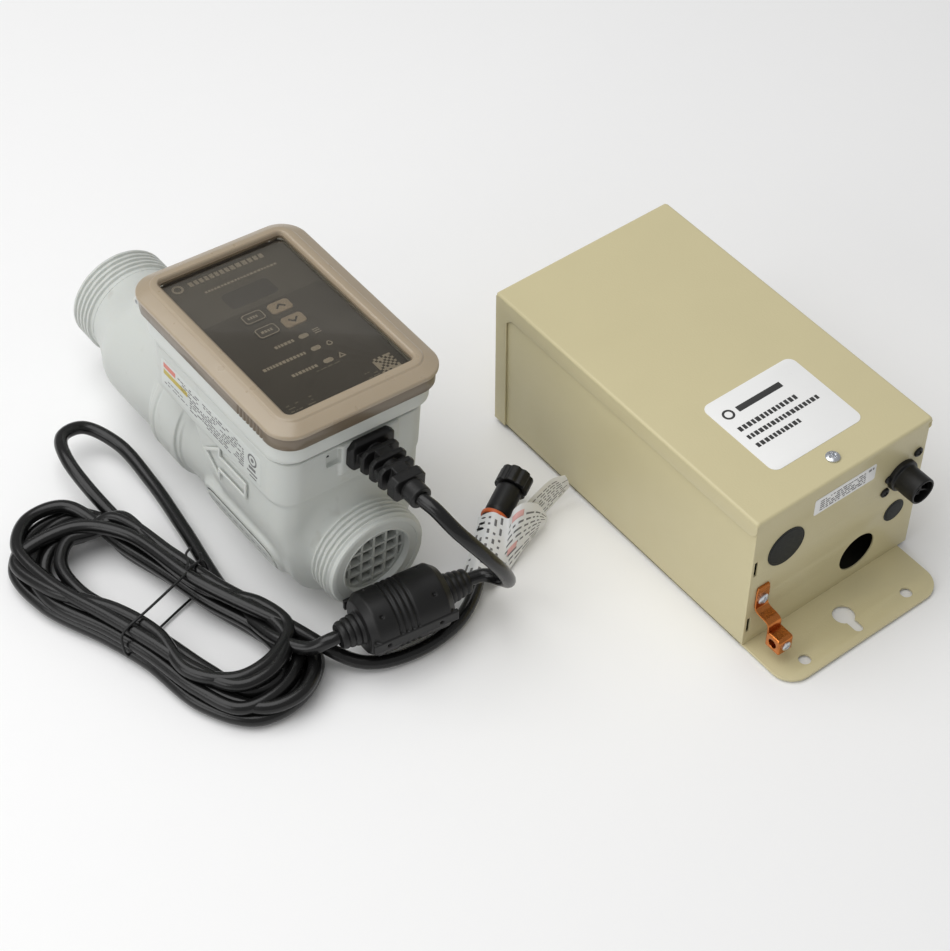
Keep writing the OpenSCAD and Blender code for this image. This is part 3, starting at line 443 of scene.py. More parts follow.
def see_through(name, tint, gloss=0.02, rough=0.12):
    """Thin clear sheet: mostly lets light straight through, with a gloss that grows at grazing angles."""
    mat, nodes, link = new_material(name)
    nodes.remove(nodes["Principled BSDF"])
    wave = add_node(nodes, "TexNoise", scale=18)
    link(nodes.new("ShaderNodeTexCoord").outputs["Object"], wave.inputs["Vector"])
    haze = add_node(nodes, "Mix", a=(*[c * 0.94 for c in tint], 1), b=(*tint, 1))
    link(wave.outputs["Fac"], haze.inputs["Factor"])
    clear = nodes.new("ShaderNodeBsdfTransparent")
    link(haze.outputs["Result"], clear.inputs["Color"])
    bump = add_node(nodes, "Bump", distance=0.0006)
    link(wave.outputs["Fac"], bump.inputs["Height"])
    shine = add_node(nodes, "BsdfGlossy", roughness=rough)
    link(bump.outputs["Normal"], shine.inputs["Normal"])
    edge = add_node(nodes, "LayerWeight", blend=0.25)
    amount = add_node(nodes, "MapRange", to_min=gloss * 0.5, to_max=0.35)
    link(edge.outputs["Fresnel"], amount.inputs["Value"])
    mixed = nodes.new("ShaderNodeMixShader")
    link(amount.outputs["Result"], mixed.inputs["Fac"])
    link(clear.outputs["BSDF"], mixed.inputs[1])
    link(shine.outputs["BSDF"], mixed.inputs[2])
    link(mixed.outputs["Shader"], nodes["Material Output"].inputs["Surface"])
    return mat


scuffs = {"scale": 60, "from": 0.66, "to": 0.9, "color": (0.42, 0.42, 0.38)}
WHITE = look("white_moulding", (0.56, 0.58, 0.55), 0.42, grain=0.05, mottle=0.025, mottle_scale=25,
             glow_through=0.08, dirt=scuffs)
WHITE_RIM = look("white_rim", (0.6, 0.62, 0.59), 0.36, grain=0.03, mottle=0.02, glow_through=0.08)
WHITE_GRID = look("white_grid", (0.54, 0.56, 0.53), 0.45, grain=0.04)
SEAM = look("seam", (0.34, 0.35, 0.33), 0.6, grain=0.02)
TAN = look("cover_tan", (0.37, 0.3, 0.212), 0.3, grain=0.015, mottle=0.05, mottle_scale=30, coat=0.25,
           glow_through=0.12)
# Darker tan shared by the skirt, its rear wall, the hinge knuckles and the ring round the window: partly the
# translucent cover's own deeper tone, partly painted shade on faces turned away from the lights.
SKIRT_TONE_AND_PAINTED_SHADE = look("cover_skirt", (0.17, 0.132, 0.09), 0.33, grain=0.02, mottle=0.08, coat=0.2)
GLASS = see_through("cover_window", (0.86, 0.84, 0.8))
PANEL = look("panel_film", (0.062, 0.056, 0.046), 0.5, grain=0.02, grain_scale=3000, mottle=0.05)
HEADER = look("panel_header", (0.112, 0.105, 0.09), 0.5, grain=0.02, grain_scale=3000, mottle=0.04)
SCREEN = look("display_screen", (0.075, 0.072, 0.07), 0.18, mottle=0.05)
KEY_DARK = look("key_dark", (0.066, 0.06, 0.05), 0.42, grain=0.03, grain_scale=2500)
KEY_TAN = look("key_tan", (0.5, 0.42, 0.32), 0.42, grain=0.03, grain_scale=2500)
INK_PALE = look("ink_pale", (0.46, 0.42, 0.35), 0.5, mottle=0.1, mottle_scale=400)
INK_DIM = look("ink_dim", (0.2, 0.185, 0.15), 0.5, mottle=0.1, mottle_scale=400)
# Dark ink for printed marks; the same colour is painted as shade into the vent slots and round the service
# plate.
DARK_INK_AND_PAINTED_SHADE = look("dark_ink_and_painted_shade", (0.03, 0.03, 0.03), 0.5, mottle=0.2, mottle_scale=400)
INK_GREY = look("ink_grey", (0.16, 0.16, 0.16), 0.5, mottle=0.3, mottle_scale=600)
INK_RED = look("ink_red", (0.62, 0.2, 0.16), 0.5, mottle=0.08, mottle_scale=300)
INK_PINK = look("ink_pink", (0.75, 0.42, 0.4), 0.6, mottle=0.08, mottle_scale=300)
INK_YELLOW = look("ink_yellow", (0.5, 0.4, 0.08), 0.5, mottle=0.08, mottle_scale=300)
BLACK = look("black_moulding", (0.007, 0.007, 0.007), 0.42, grain=0.04, grain_scale=1800, mottle=0.15,
             rough_spread=0.1, specular=0.35)
JACKET = look("cable_jacket", (0.006, 0.006, 0.006), 0.24, grain=0.03, grain_scale=900, mottle=0.2,
              mottle_scale=60, rough_spread=0.09, specular=0.4)
ORANGE = look("orange_seal", (0.62, 0.12, 0.025), 0.4, grain=0.02)
PAPER = look("paper", (0.8, 0.8, 0.79), 0.55, grain=0.02, grain_scale=900, mottle=0.03, glow_through=0.1)
LABEL = look("label_film", (0.86, 0.86, 0.85), 0.32, grain=0.01, mottle=0.02)
PAINT = look("case_paint", (0.6, 0.535, 0.32), 0.4, grain=0.09, grain_scale=700, mottle=0.035,
             mottle_scale=18)
PLUG_DISC = look("plug_disc", (0.006, 0.008, 0.0075), 0.5, grain=0.03, mottle=0.3, mottle_scale=200,
                 specular=0.25)
# Near-black painted shade for the inside of the case, which shows through the open conduit hole.
INSIDE_PAINTED_SHADE = look("case_inside_painted_shade", (0.03, 0.028, 0.022), 0.6, grain=0.05, mottle=0.1)
COPPER = look("copper", (0.56, 0.19, 0.05), 0.27, metal=1.0, grain=0.02, mottle=0.35, mottle_scale=120,
              rough_spread=0.12)
STEEL = look("zinc_steel", (0.62, 0.64, 0.67), 0.3, metal=1.0, grain=0.02, mottle=0.15, mottle_scale=300)
TITANIUM = look("titanium", (0.42, 0.41, 0.4), 0.38, metal=1.0, grain=0.02, streaks=(1, 1, 12))
TITANIUM_DARK = look("coated_titanium", (0.06, 0.06, 0.065), 0.6, metal=0.4, grain=0.03)
BRASS = look("brass", (0.6, 0.42, 0.16), 0.3, metal=1.0, grain=0.01)
LAMINATION = look("lamination", (0.16, 0.165, 0.18), 0.5, metal=0.6, grain=0.12, grain_scale=120,
                  streaks=(1, 14, 1), mottle=0.2)
WINDING = look("winding", (0.4, 0.14, 0.03), 0.35, grain=0.25, grain_scale=90, streaks=(0.3, 8, 0.3),
               mottle=0.2)
BOARD = look("circuit_board", (0.02, 0.12, 0.05), 0.35, grain=0.02, mottle=0.3, mottle_scale=260, coat=0.3)
FERRITE_GREY = look("ferrite", (0.05, 0.05, 0.055), 0.5, grain=0.04)
LIGHT_PIPE = look("light_pipe", (0.45, 0.42, 0.36), 0.2, glow_through=0.3)
POTTING = look("potting", (0.02, 0.02, 0.02), 0.25, grain=0.2, grain_scale=60)
WIRE = look("wire", (0.02, 0.02, 0.16), 0.35, grain=0.02, mottle=0.15)

# ---------------------------------------------------------------- cell body

END_Y = body_hi[1]
CREST_R, ROOT_R, BORE_R = 40.0, 37.9, 26.5
BARREL_R, CHAMBER_R, CHAMBER_HALF = 50.0, 43.0, 118.0
FRONT_SHOULDER, REAR_SHOULDER = -134, 100       # where the barrel starts to narrow
BAND_Y, BAND_HALF, BAND_R, BAND_STEP_R = 21.5, 16.5, 54.2, 52.0
HEAD_CORNER, UNDER_R = 18, 44                   # corner radii of the head's walls, in plan and under it
FLOW_Y, PROBE_Y = 12, -106                      # wells of the flow switch and of the temperature probe
WALL_X = gasket_hi[0] + 0.5
WALL_LO, WALL_HI = gasket_lo[1] - 0.5, gasket_hi[1] + 0.5
WALL_MID, WALL_HALF = (WALL_LO + WALL_HI) / 2, (WALL_HI - WALL_LO) / 2
SEAM_Z = gasket_lo[2]
THREAD_FRONT, THREAD_REAR = -END_Y + 22, END_Y - 26
GLAND = np.array([(gland_lo[0] + gland_hi[0]) / 2, WALL_LO, (gland_lo[2] + gland_hi[2]) / 2])
PAD_TILT, PAD_X = -20, -52.2
PAD = CELL @ turned("Y", PAD_TILT)
plate_lo, plate_hi = local_box("service_plate", PAD)
PAD_MID = (plate_lo + plate_hi) / 2


def slope(t):
    t = np.clip(t, 0, 1)
    return t * t * (3 - 2 * t)


def cell_field(x, y, z):
    """The cell's moulding: barrel, head walls, neck, band, bosses, and the hollows inside."""
    radial = np.sqrt(x * x + z * z)
    # Barrel, with a short shoulder in front and a long easy one behind
    front = slope((FRONT_SHOULDER - y) / (FRONT_SHOULDER - THREAD_FRONT))
    rear = slope((y - REAR_SHOULDER) / (THREAD_REAR + 1 - REAR_SHOULDER))
    barrel = radial - (BARREL_R - (BARREL_R - ROOT_R + 0.1) * (front + rear))
    # Head walls: a round-cornered tower whose front half runs down on to the barrel
    plan = corner_field(np.abs(x) - WALL_X, np.abs(y - WALL_MID) - WALL_HALF, HEAD_CORNER)
    under = corner_field(np.abs(x) - WALL_X, 34 - UNDER_R - z, UNDER_R)
    slant = 0.88 * (y + 26) - 0.475 * (z - 58)
    lower = smooth_max(smooth_max(plan, under, 8), slant, 5)
    upper = smooth_max(plan, 57 - z, 2.5)
    pillar = field_box(x, y - WALL_MID, z - 40, (36, WALL_HALF - 9, 42), 14)
    # Hump that fairs the head's rear wall into the barrel
    run = slope((y - WALL_HI + 6) / 84)
    top, wide = 84 + (BARREL_R - 3 - 84) * run, 47 + (BARREL_R - 1 - 47) * run
    hump = (np.sqrt((x / wide) ** 2 + (np.maximum(z, 0) / top) ** 2 + (np.minimum(z, 0) / 50) ** 2) - 1) * 48
    hump = smooth_max(smooth_max(hump, y - 112, 12), WALL_HI - 30 - y, 4)
    solid = smooth_min(barrel, smooth_min(pillar, hump, 10), 6)
    solid = smooth_min(solid, lower, 9)
    solid = smooth_min(solid, upper, 3.5)
    # Band round the barrel with a fine groove, and the flat boss under the service plate
    band = smooth_max(radial - BAND_R, np.abs(y - BAND_Y) - BAND_HALF, 1.2)
    band = np.minimum(band, smooth_max(radial - BAND_STEP_R, np.abs(y - BAND_Y) - BAND_HALF - 4, 0.8))
    band = smooth_max(band, 1.3 - np.sqrt((radial - 54.5) ** 2 + (y - 31.5) ** 2), 0.4)
    solid = smooth_min(solid, band, 1.6)
    tilt = math.radians(PAD_TILT)
    u, w = x * math.cos(tilt) - z * math.sin(tilt), z * math.cos(tilt) + x * math.sin(tilt)
    long = np.maximum(np.abs(y - PAD_MID[1]) - 30, 0)
    boss = smooth_max(np.sqrt(long ** 2 + (w - PAD_MID[2]) ** 2) - 17, np.abs(u - PAD_X - 5) - 5, 3)
    solid = smooth_min(solid, boss, 5)
    # Pad for the cable gland, with a pocket beside it
    pad = field_box(x - GLAND[0] - 1, y - WALL_LO, z - GLAND[2] + 0.5, (24.0, 3.0, 16.5), 2.4)
    solid = smooth_min(solid, pad, 1.2)
    side = field_box(x - GLAND[0] + 27, y - WALL_LO, z - GLAND[2] - 1.5, (5.5, 2.4, 6.5), 1.2)
    solid = smooth_max(solid, -side, 1.0)
    solid = smooth_max(solid, z - SEAM_Z, 1.2)
    solid = smooth_max(solid, np.maximum(THREAD_FRONT - 0.5 - y, y - THREAD_REAR - 0.5), 0.3)
    # Water way, chamber, and the dry space under the control head
    hollow = np.minimum(radial - BORE_R, np.maximum(radial - CHAMBER_R, np.abs(y) - CHAMBER_HALF))
    dry = np.maximum(np.maximum(plan + 5, 54 - z), z - 200)
    flow_well = np.sqrt(x * x + (y - FLOW_Y) ** 2) - 9
    probe_well = np.sqrt(x * x + (y - PROBE_Y) ** 2) - 5
    wells = np.maximum(np.minimum(flow_well, probe_well), 28 - z)
    slot = field_box(x, y + 48, z - 45, (22, 40, 16))
    hollow = np.minimum(np.minimum(hollow, dry), np.minimum(wells, slot))
    return np.maximum(solid, -hollow)


voxel = 0.9
piece("cell_moulding", moulded(cell_field, (-66, -147, -57), (66, 145, 99), voxel), WHITE, "cell", CELL,
      ["cell_body"], sharp=48)


def union_thread(y_start, y_end, pitch=4.3, turns=4.6):
    """Threaded end of the pipe: a helical ridge outside, the plain bore inside. y_end is the open face."""
    way = 1 if y_end > y_start else -1
    length = abs(y_end - y_start)
    sides, rows = 160, int(length / 0.28)
    a = full_circle(sides)
    rings = []
    for i in range(rows + 1):
        s = length * i / rows
        phase = (s - 1.0) / pitch - a / (2 * math.pi) * way
        ridge = np.clip(1.9 - 5.2 * np.abs((phase % 1) - 0.5), 0, 1)
        ridge = ridge * ridge * (3 - 2 * ridge)
        live = np.clip((phase + 0.2) * 3, 0, 1) * np.clip((turns - phase) * 3, 0, 1)
        near_face = np.clip((length - s) / 0.9, 0, 1)
        r = ROOT_R + (CREST_R - ROOT_R) * ridge * live * near_face - 0.6 * (1 - near_face) ** 2
        rings.append(np.column_stack([r * np.cos(a), np.full(sides, y_start + way * s), r * np.sin(a)]))
    for r, s in ((BORE_R + 7.2, length), (BORE_R + 7.0, length - 0.35), (BORE_R + 1.6, length - 0.35),
                 (BORE_R + 1.4, length), (BORE_R + 0.5, length), (BORE_R, length - 0.5), (BORE_R, -0.6)):
        rings.append(np.column_stack([r * np.cos(a), np.full(sides, y_start + way * s), r * np.sin(a)]))
    points, faces = loft(rings, loop=True)
    return points, faces


piece("inlet_union_thread", union_thread(THREAD_FRONT, -END_Y), WHITE, "cell", CELL,
      sharp=50)
piece("outlet_union_thread", union_thread(THREAD_REAR, END_Y, 4.6, 5.3), WHITE, "cell", CELL,
      sharp=50)

# Raised outline arrow for the flow, on the left wall
WALL_FACE = CELL @ shifted(-WALL_X, 0, 0) @ turned("Y", -90)
ARROW_AT = (36, 0)
arrow = np.array([(0, -98), (14, -98), (14, -66), (22, -66), (7, -46), (-8, -66), (0, -66)], float) + ARROW_AT
arrow_in = np.array([(1.6, -96.4), (12.4, -96.4), (12.4, -64.4), (18.6, -64.4), (7, -48.9), (-4.6, -64.4),
                     (1.6, -64.4)], float) + ARROW_AT
piece("flow_arrow", plate([arrow, arrow_in], -0.6, 0.55, 0.35), WHITE_RIM, "cell", WALL_FACE)

# Three fine vents beside the gland: the shade inside them is painted as thin dark slots on the wall
vents = [placed(block((-2.2, -0.7, -0.5), (2.2, 0.25, 0.5), 0.3), shifted(-39 + 7 * i, WALL_LO, SEAM_Z - 5.5))
         for i in range(3)]
piece("vent_slots", joined(*vents), DARK_INK_AND_PAINTED_SHADE, "cell", CELL)

# Service plate in its pocket, with the shadow gap round it painted as a dark plate beneath
def stadium(length, width, n=16):
    return round_rect(width, length, width / 2 - 0.02, n)


PAD_FACE = PAD @ shifted(PAD_X, PAD_MID[1], PAD_MID[2]) @ turned("Y", -90)
piece("service_gap", plate([stadium(86.4, 26.4)], -1.5, 0.25, 0.1), DARK_INK_AND_PAINTED_SHADE, "cell", PAD_FACE)
piece("service_cover", plan_loft(soften([(22, 82, 11, 0, -1.2), (23.4, 83.4, 11.6, 0, 0.9),
                                         (20, 80, 10, 0, 1.5), (19, 79, 9.4, 0, 1.1)], 0.6)), WHITE, "cell",
      PAD_FACE, ["service_plate"])


def bars(rows, thickness=0.06):
    """Thin printed rectangles; each row is (x, y, width, height)."""
    return joined(*[block((x, y, 0), (x + w, y + h, thickness), 0.02) for x, y, w, h in rows])


def fine_print(x0, x1, y_rows, height, fill=0.75, longest=6.0):
    """Rows of short bars of uneven length, standing in for lines of small print."""
    out = []
    for y in y_rows:
        x = x0
        while x < x1:
            w = min(rng.uniform(1.2, longest), x1 - x)
            if rng.random() < fill and w > 0.6:
                out.append((x, y, w, height * rng.uniform(0.75, 1.0)))
            x += w + rng.uniform(0.6, 1.4)
    return out


piece("service_marks", bars([(-1, -32 + 7.5 * i, 1.6, 4.6) for i in range(9)]), INK_GREY, "cell",
      PAD_FACE @ shifted(0, 0, 1.1))

# ---------------------------------------------------------------- side label

side_lo, side_hi = local_box("side_label", CELL)
# On the label's face x runs forward along the pipe's left side and y runs up
side_place = CELL @ np.array([[0, 0, -1, side_lo[0]], [-1, 0, 0, side_hi[1]], [0, 1, 0, side_lo[2]],
                              [0, 0, 0, 1.0]])
side_w, side_h = side_hi[1] - side_lo[1], side_hi[2] - side_lo[2]
piece("side_sticker", plate([round_rect(side_w, side_h, 2.5, 6, side_w / 2, side_h / 2)], -0.3, 0.0, 0.08),
      WHITE_RIM, "cell", side_place, ["side_label"])
print_place = side_place @ shifted(0, 0, 0.01)
piece("side_red_bar", bars([(3, side_h - 6.5, 15, 4.2)]), INK_RED, "cell", print_place)
piece("side_yellow_bar", bars([(3, side_h - 12.5, 30, 4.2)]), INK_YELLOW, "cell", print_place)
piece("side_small_print", bars(fine_print(21, side_w - 20, [side_h - 4.5 - 2.2 * i for i in range(4)], 1.2)
                               + fine_print(36, side_w - 20, [side_h - 13.3 - 2.2 * i for i in range(5)], 1.2)
                               + fine_print(4, 33, [4.5, 7.5], 0.9)), INK_GREY, "cell", print_place)
seal_ring = plate([circle(5.2, side_w - 10, side_h - 8), circle(3.8, side_w - 10, side_h - 8)], 0, 0.06, 0.02)
seal_foot = bars([(side_w - 14, side_h - 17, 8, 2.6), (side_w - 16, side_h - 20.5, 12, 1.4),
                  (side_w - 13, side_h - 23.5, 8, 1.2)])
piece("side_round_mark", joined(seal_ring, plate([circle(1.7, side_w - 10, side_h - 8)], 0, 0.06, 0.02),
                                 seal_foot), INK_GREY, "cell", print_place)

# ---------------------------------------------------------------- control head

panel_mid = (panel_lo + panel_hi) / 2
RIM_W = rim_hi[0] - rim_lo[0]
RIM_FRONT = rim_lo[1]
RIM_L = 2 * (WALL_MID - RIM_FRONT)
DECK_Z = panel_lo[2]
RIM_TOP = DECK_Z - 7
BASE_Z = gasket_hi[2]

keys = {n: middle(n, CELL) for n in ("setup_button", "boost_button", "up_button", "down_button")}
key_lo, key_hi = local_box("setup_button", CELL)
KEY_W, KEY_L = key_hi[0] - key_lo[0] - 2.6, key_hi[1] - key_lo[1] - 2.6
lights_lo, lights_hi = local_box("light_pipes", CELL)
light_x = (lights_lo[0] + lights_hi[0]) / 2
light_ys = np.linspace(lights_lo[1] + 1.6, lights_hi[1] - 1.6, 3)
display = middle("display_module", CELL)


# Section of the rim, from its foot up: growth in width and in length, corner radius, height
rim_table = ((-6, -11, 18, BASE_Z), (-6, -11, 18, BASE_Z + 1.6), (-6.8, -11.8, 17.6, BASE_Z + 1.9),
             (-5.4, -10.4, 18.2, BASE_Z + 2.4), (-0.6, -0.9, 20, BASE_Z + 6.2), (0, 0, 20.2, BASE_Z + 7.0),
             (0, 0, 20.2, RIM_TOP - 1), (-1.4, -1.4, 19.4, RIM_TOP), (-5, -6, 18, RIM_TOP),
             (-5, -6, 18, DECK_Z - 0.8), (-6, -7, 17.5, DECK_Z))


def ring_row(grow_w, grow_l, r, z):
    return (RIM_W + grow_w, RIM_L + grow_l, r, WALL_MID, z)


rim_outer = soften([ring_row(*row) for row in rim_table], 0.7, 3)
rim_inner = [ring_row(-12, -17, 14, DECK_Z), ring_row(-12, -17, 14, BASE_Z)]
deck_holes = [round_rect(KEY_W + 0.6, KEY_L + 0.6, 3, 6, k[0], k[1]) for k in keys.values()]
deck_holes += [circle(1.7, light_x, y, 20) for y in light_ys]
deck = plate([round_rect(RIM_W - 11, RIM_L - 16, 14.4, 8, 0, WALL_MID)] + deck_holes, DECK_Z - 3, DECK_Z, 0.2)


def hinge_ear(x0, x1, r, y, z, y_back):
    """Knuckle of the hinge, drawn out to the wall that carries it."""
    a = np.linspace(-math.pi / 2, math.pi / 2, 13)
    outline = [(y + r * math.cos(t), z + r * math.sin(t)) for t in a] + [(y_back, z + r), (y_back, z - r)]
    rings = []
    for x, inset in ((x0, 0.5), (x0 + 0.4, 0.0), (x1 - 0.4, 0.0), (x1, 0.5)):
        mid = np.mean(outline, axis=0)
        ring = [(x, m[0] + (p[0] - m[0]) * (1 - inset / r / 2), m[1] + (p[1] - m[1]) * (1 - inset / r / 2))
                for p, m in ((q, mid) for q in outline)]
        rings.append(np.array(ring))
    return loft(rings)


HINGE_Y, HINGE_Z = (pins_lo[1] + pins_hi[1]) / 2, (pins_lo[2] + pins_hi[2]) / 2
ears = [hinge_ear(s - 3, s + 3, 3.6, HINGE_Y, HINGE_Z, RIM_L / 2 + WALL_MID - 1.5)
        for s in (-58, -47, 47, 58)]
piece("head_rim", joined(plan_loft(rim_outer + rim_inner, loop=True), deck, *ears), WHITE_RIM, "cell", CELL,
      ["control_housing"], sharp=50)
seam_row = [(2 * WALL_X - 0.8, 2 * WALL_HALF - 0.8, 17.6, WALL_MID, SEAM_Z - 0.3),
            (2 * WALL_X - 0.8, 2 * WALL_HALF - 0.8, 17.6, WALL_MID, BASE_Z + 0.3)]
seam_in = [(w - 8, l - 8, r - 4, y, z) for w, l, r, y, z in reversed(seam_row)]
piece("seam_gasket", plan_loft(seam_row + seam_in, loop=True), SEAM, "cell", CELL, ["head_gasket"])

# Panel film, its lighter header, the screen and the printing
film_w, film_l = panel_hi[0] - panel_lo[0], panel_hi[1] - panel_lo[1]
FILM_TOP = panel_hi[2]
key_holes = [round_rect(KEY_W + 0.5, KEY_L + 0.5, 3, 6, k[0], k[1]) for k in keys.values()]
piece("panel_film", plate([round_rect(film_w, film_l, 4, 6, 0, panel_mid[1])] + key_holes
                          + [circle(1.7, light_x, y, 20) for y in light_ys], panel_lo[2], FILM_TOP, 0.12),
      PANEL, "cell", CELL, ["control_panel"])
HEADER_Y = keys["up_button"][1] + 8.4
header_top = panel_hi[1] - 1.4
PRINT = CELL @ shifted(0, 0, FILM_TOP + 0.02)
piece("panel_header",
      plate([round_rect(film_w - 1.6, header_top - HEADER_Y, 1.5, 4, 0, (header_top + HEADER_Y) / 2)],
                            0, 0.05, 0.02), HEADER, "cell", PRINT)
piece("display_window", plate([round_rect(38, 17, 3.4, 6, display[0], display[1])], 0.04, 0.14, 0.04), SCREEN,
      "cell", PRINT)


def line_of_blocks(x0, x1, y, height, gap=0.7, widths=(1.6, 3.0)):
    """A row of plain upright blocks: takes the place of a printed word without spelling anything."""
    out, x = [], x0
    while x < x1 - widths[0]:
        w = min(rng.uniform(*widths), x1 - x)
        out.append((x, y - height / 2, w, height))
        x += w + gap
    return out


title_y, subtitle_y = display[1] + 29.5, display[1] + 17
title_ring = plate([circle(4.2, -38, title_y, 28), circle(2.6, -38, title_y, 28)], 0, 0.06, 0.02)
piece("panel_title", joined(bars(line_of_blocks(-29, 35, title_y, 4.6, 1.3, (2.6, 3.9))), title_ring),
      INK_PALE, "cell", PRINT @ shifted(0, 0, 0.05))
piece("panel_subtitle", bars(line_of_blocks(-24, 34, subtitle_y, 2.0, 0.8, (1.4, 2.4))), INK_PALE, "cell",
      PRINT @ shifted(0, 0, 0.05))
names = []
for y, length in zip(light_ys[::-1], (15, 34, 21)):
    names += line_of_blocks(light_x - 8 - length, light_x - 8, y, 2.7, 0.7, (1.4, 2.4))
piece("panel_names", bars(names), INK_PALE, "cell", PRINT)
piece("light_windows",
      joined(*[plate([round_rect(7.4, 4.0, 1.9, 6, light_x, y)], 0, 0.1, 0.04) for y in light_ys]),
      INK_PALE, "cell", PRINT)
icon_x = light_x + 10.5
waves = [(icon_x - 2.6, light_ys[2] + dy - 0.4, 5.2, 0.8) for dy in (-1.9, 0, 1.9)]
drop = [(icon_x + 2.1 * math.sin(t) * (1 - 0.35 * math.cos(t)),
         light_ys[1] - 0.4 - 2.4 * math.cos(t + math.pi))
        for t in full_circle(24)]
drop_in = [(icon_x + (x - icon_x) * 0.6, light_ys[1] - 0.4 + (y - light_ys[1] + 0.4) * 0.6) for x, y in drop]
bell = [(icon_x - 2.9, light_ys[0] - 2.2), (icon_x + 2.9, light_ys[0] - 2.2), (icon_x, light_ys[0] + 2.9)]
bell_in = [(icon_x - 1.4, light_ys[0] - 1.3), (icon_x + 1.4, light_ys[0] - 1.3), (icon_x, light_ys[0] + 1.1)]
piece("panel_icons",
      joined(bars(waves), plate([drop, drop_in], 0, 0.06, 0.02), plate([bell, bell_in], 0, 0.06, 0.02)),
      INK_PALE, "cell", PRINT)
tile, tiles = 1.9, []
for i in range(8):
    for j in range(8):
        if (i + j) % 2 == 0 or rng.random() < 0.25:
            tiles.append((30 + i * tile, -125 + j * tile, tile, tile))
piece("panel_chequer", bars(tiles), INK_PALE, "cell", PRINT)
piece("panel_small_print", bars(fine_print(-42, -22, [-129, -126, -123, -120, -117], 1.1)
                                + fine_print(19, 28, [-124, -121.5, -119], 1.0)
                                + fine_print(-6, 14, [light_ys[0] - 5.4], 1.0)), INK_DIM, "cell", PRINT)


def key_cap(at, name, body, finish):
    (_, _, foot), (_, _, top) = local_box(name, CELL)
    rows = soften([(KEY_W + 2.4, KEY_L + 2.4, 3, at[1], foot),
                   (KEY_W + 2.4, KEY_L + 2.4, 3, at[1], foot + 1.4),
                   (KEY_W, KEY_L, 2.9, at[1], foot + 1.41), (KEY_W, KEY_L, 2.9, at[1], top - 0.35),
                   (KEY_W - 0.9, KEY_L - 0.9, 2.5, at[1], top), (KEY_W - 3, KEY_L - 3, 2, at[1], top - 0.12)],
                  0.3, 2)
    piece(name + "_cap", plan_loft(rows, cx=at[0]), finish, body, CELL, [name])
    return CELL @ shifted(at[0], at[1], top - 0.1)


for name, body in (("setup_button", "setup_key"), ("boost_button", "boost_key")):
    face = key_cap(keys[name], name, body, KEY_DARK)
    outline = plate([round_rect(KEY_W - 1.0, KEY_L - 1.0, 2.6, 6),
                     round_rect(KEY_W - 2.3, KEY_L - 2.3, 2.1, 6)],
                    -0.05, 0.12, 0.04)
    marks = bars(line_of_blocks(-4.6, 4.8, 0, 2.4, 0.6, (1.3, 2.1)))
    piece(name + "_print", joined(outline, marks), INK_PALE, body, face)
for name, body, way in (("up_button", "up_key", 1), ("down_button", "down_key", -1)):
    face = key_cap(keys[name], name, body, KEY_TAN)
    chevron = [(-4.0, -1.4), (0, 2.3), (4.0, -1.4), (3.1, -2.5), (0, 0.3), (-3.1, -2.5)]
    piece(name + "_print", plate([[(x, way * (y + 0.4)) for x, y in chevron][::way]], -0.05, 0.1, 0.03),
          DARK_INK_AND_PAINTED_SHADE, body, face)

# ---------------------------------------------------------------- hinged cover

COVER_W, COVER_L = cover_hi[0] - cover_lo[0], cover_hi[1] - cover_lo[1]
COVER_MID = (cover_lo[1] + cover_hi[1]) / 2
COVER_TOP = cover_hi[2]
WIN_W, WIN_L, WIN_MID = 101.0, 157.0, panel_mid[1] - 1.2
PANE_W, PANE_L = WIN_W + 1.4, WIN_L + 1.4
WIN_TOP, WIN_UNDER = COVER_TOP - 3.5, COVER_TOP - 6


def frame_row(share, inset, drop, r):
    """A row of the cover's section: share 0 is the window's edge, 1 the outer edge; drop is from the top."""
    w = WIN_W + (COVER_W - WIN_W) * share - 2 * inset
    l = WIN_L + (COVER_L - WIN_L) * share - 2 * inset
    return (w, l, r, WIN_MID + (COVER_MID - WIN_MID) * share, COVER_TOP - drop)


section = [frame_row(*row) for row in (
    (0, -0.1, 6, 4), (0, -0.1, 2.9, 4), (0.05, 0, 1.0, 5), (0.12, 0, 0.1, 7), (0.26, 0, 0, 9),
                                       (0.40, 0, 0.3, 12),
    (0.47, 0, 1.3, 13.5), (0.52, 0, 1.5, 14), (0.96, 0, 4.6, 19.4), (1, 0, 5.4, 20), (1, 0, 7.6, 20),
    (1, 0.5, 8.0, 19.6), (1, 4.2, 8.0, 17), (1, 4.4, 6, 17))]
piece("cover_frame", plan_loft(soften(section, 0.8, 3, loop=True), loop=True, n=14), TAN, "cover", CELL,
      ["panel_cover"], sharp=60)
window_rows = soften([(PANE_W, PANE_L, 4.6, WIN_MID, WIN_UNDER + 0.3),
                      (PANE_W, PANE_L, 4.6, WIN_MID, WIN_TOP - 0.4),
                      (PANE_W - 0.5, PANE_L - 0.5, 4.4, WIN_MID, WIN_TOP)], 0.2, 2)
piece("cover_window", plan_loft(window_rows), GLASS, "cover", CELL)
# Dark ring round the pane, in the darker tan: painted shadow of the gap between the window and the frame
edge_z = (WIN_TOP - 0.2, WIN_TOP + 0.35)
edge_rows = [(PANE_W, PANE_L, 4.6, WIN_MID, z) for z in edge_z]
edge_rows += [(WIN_W - 1.3, WIN_L - 1.3, 3.4, WIN_MID, z) for z in reversed(edge_z)]
piece("window_edge_painted_shadow", plan_loft(edge_rows, loop=True), SKIRT_TONE_AND_PAINTED_SHADE, "cover", CELL)

# Skirt: runs from one rear corner round the front to the other, ribbed for the fingers near the front
SKIRT_TOP, SKIRT_LOW, SKIRT_END = COVER_TOP - 7.8, RIM_TOP - 2.0, HINGE_Y - 9
grip_y = (RIM_FRONT + 19, RIM_FRONT + 50)


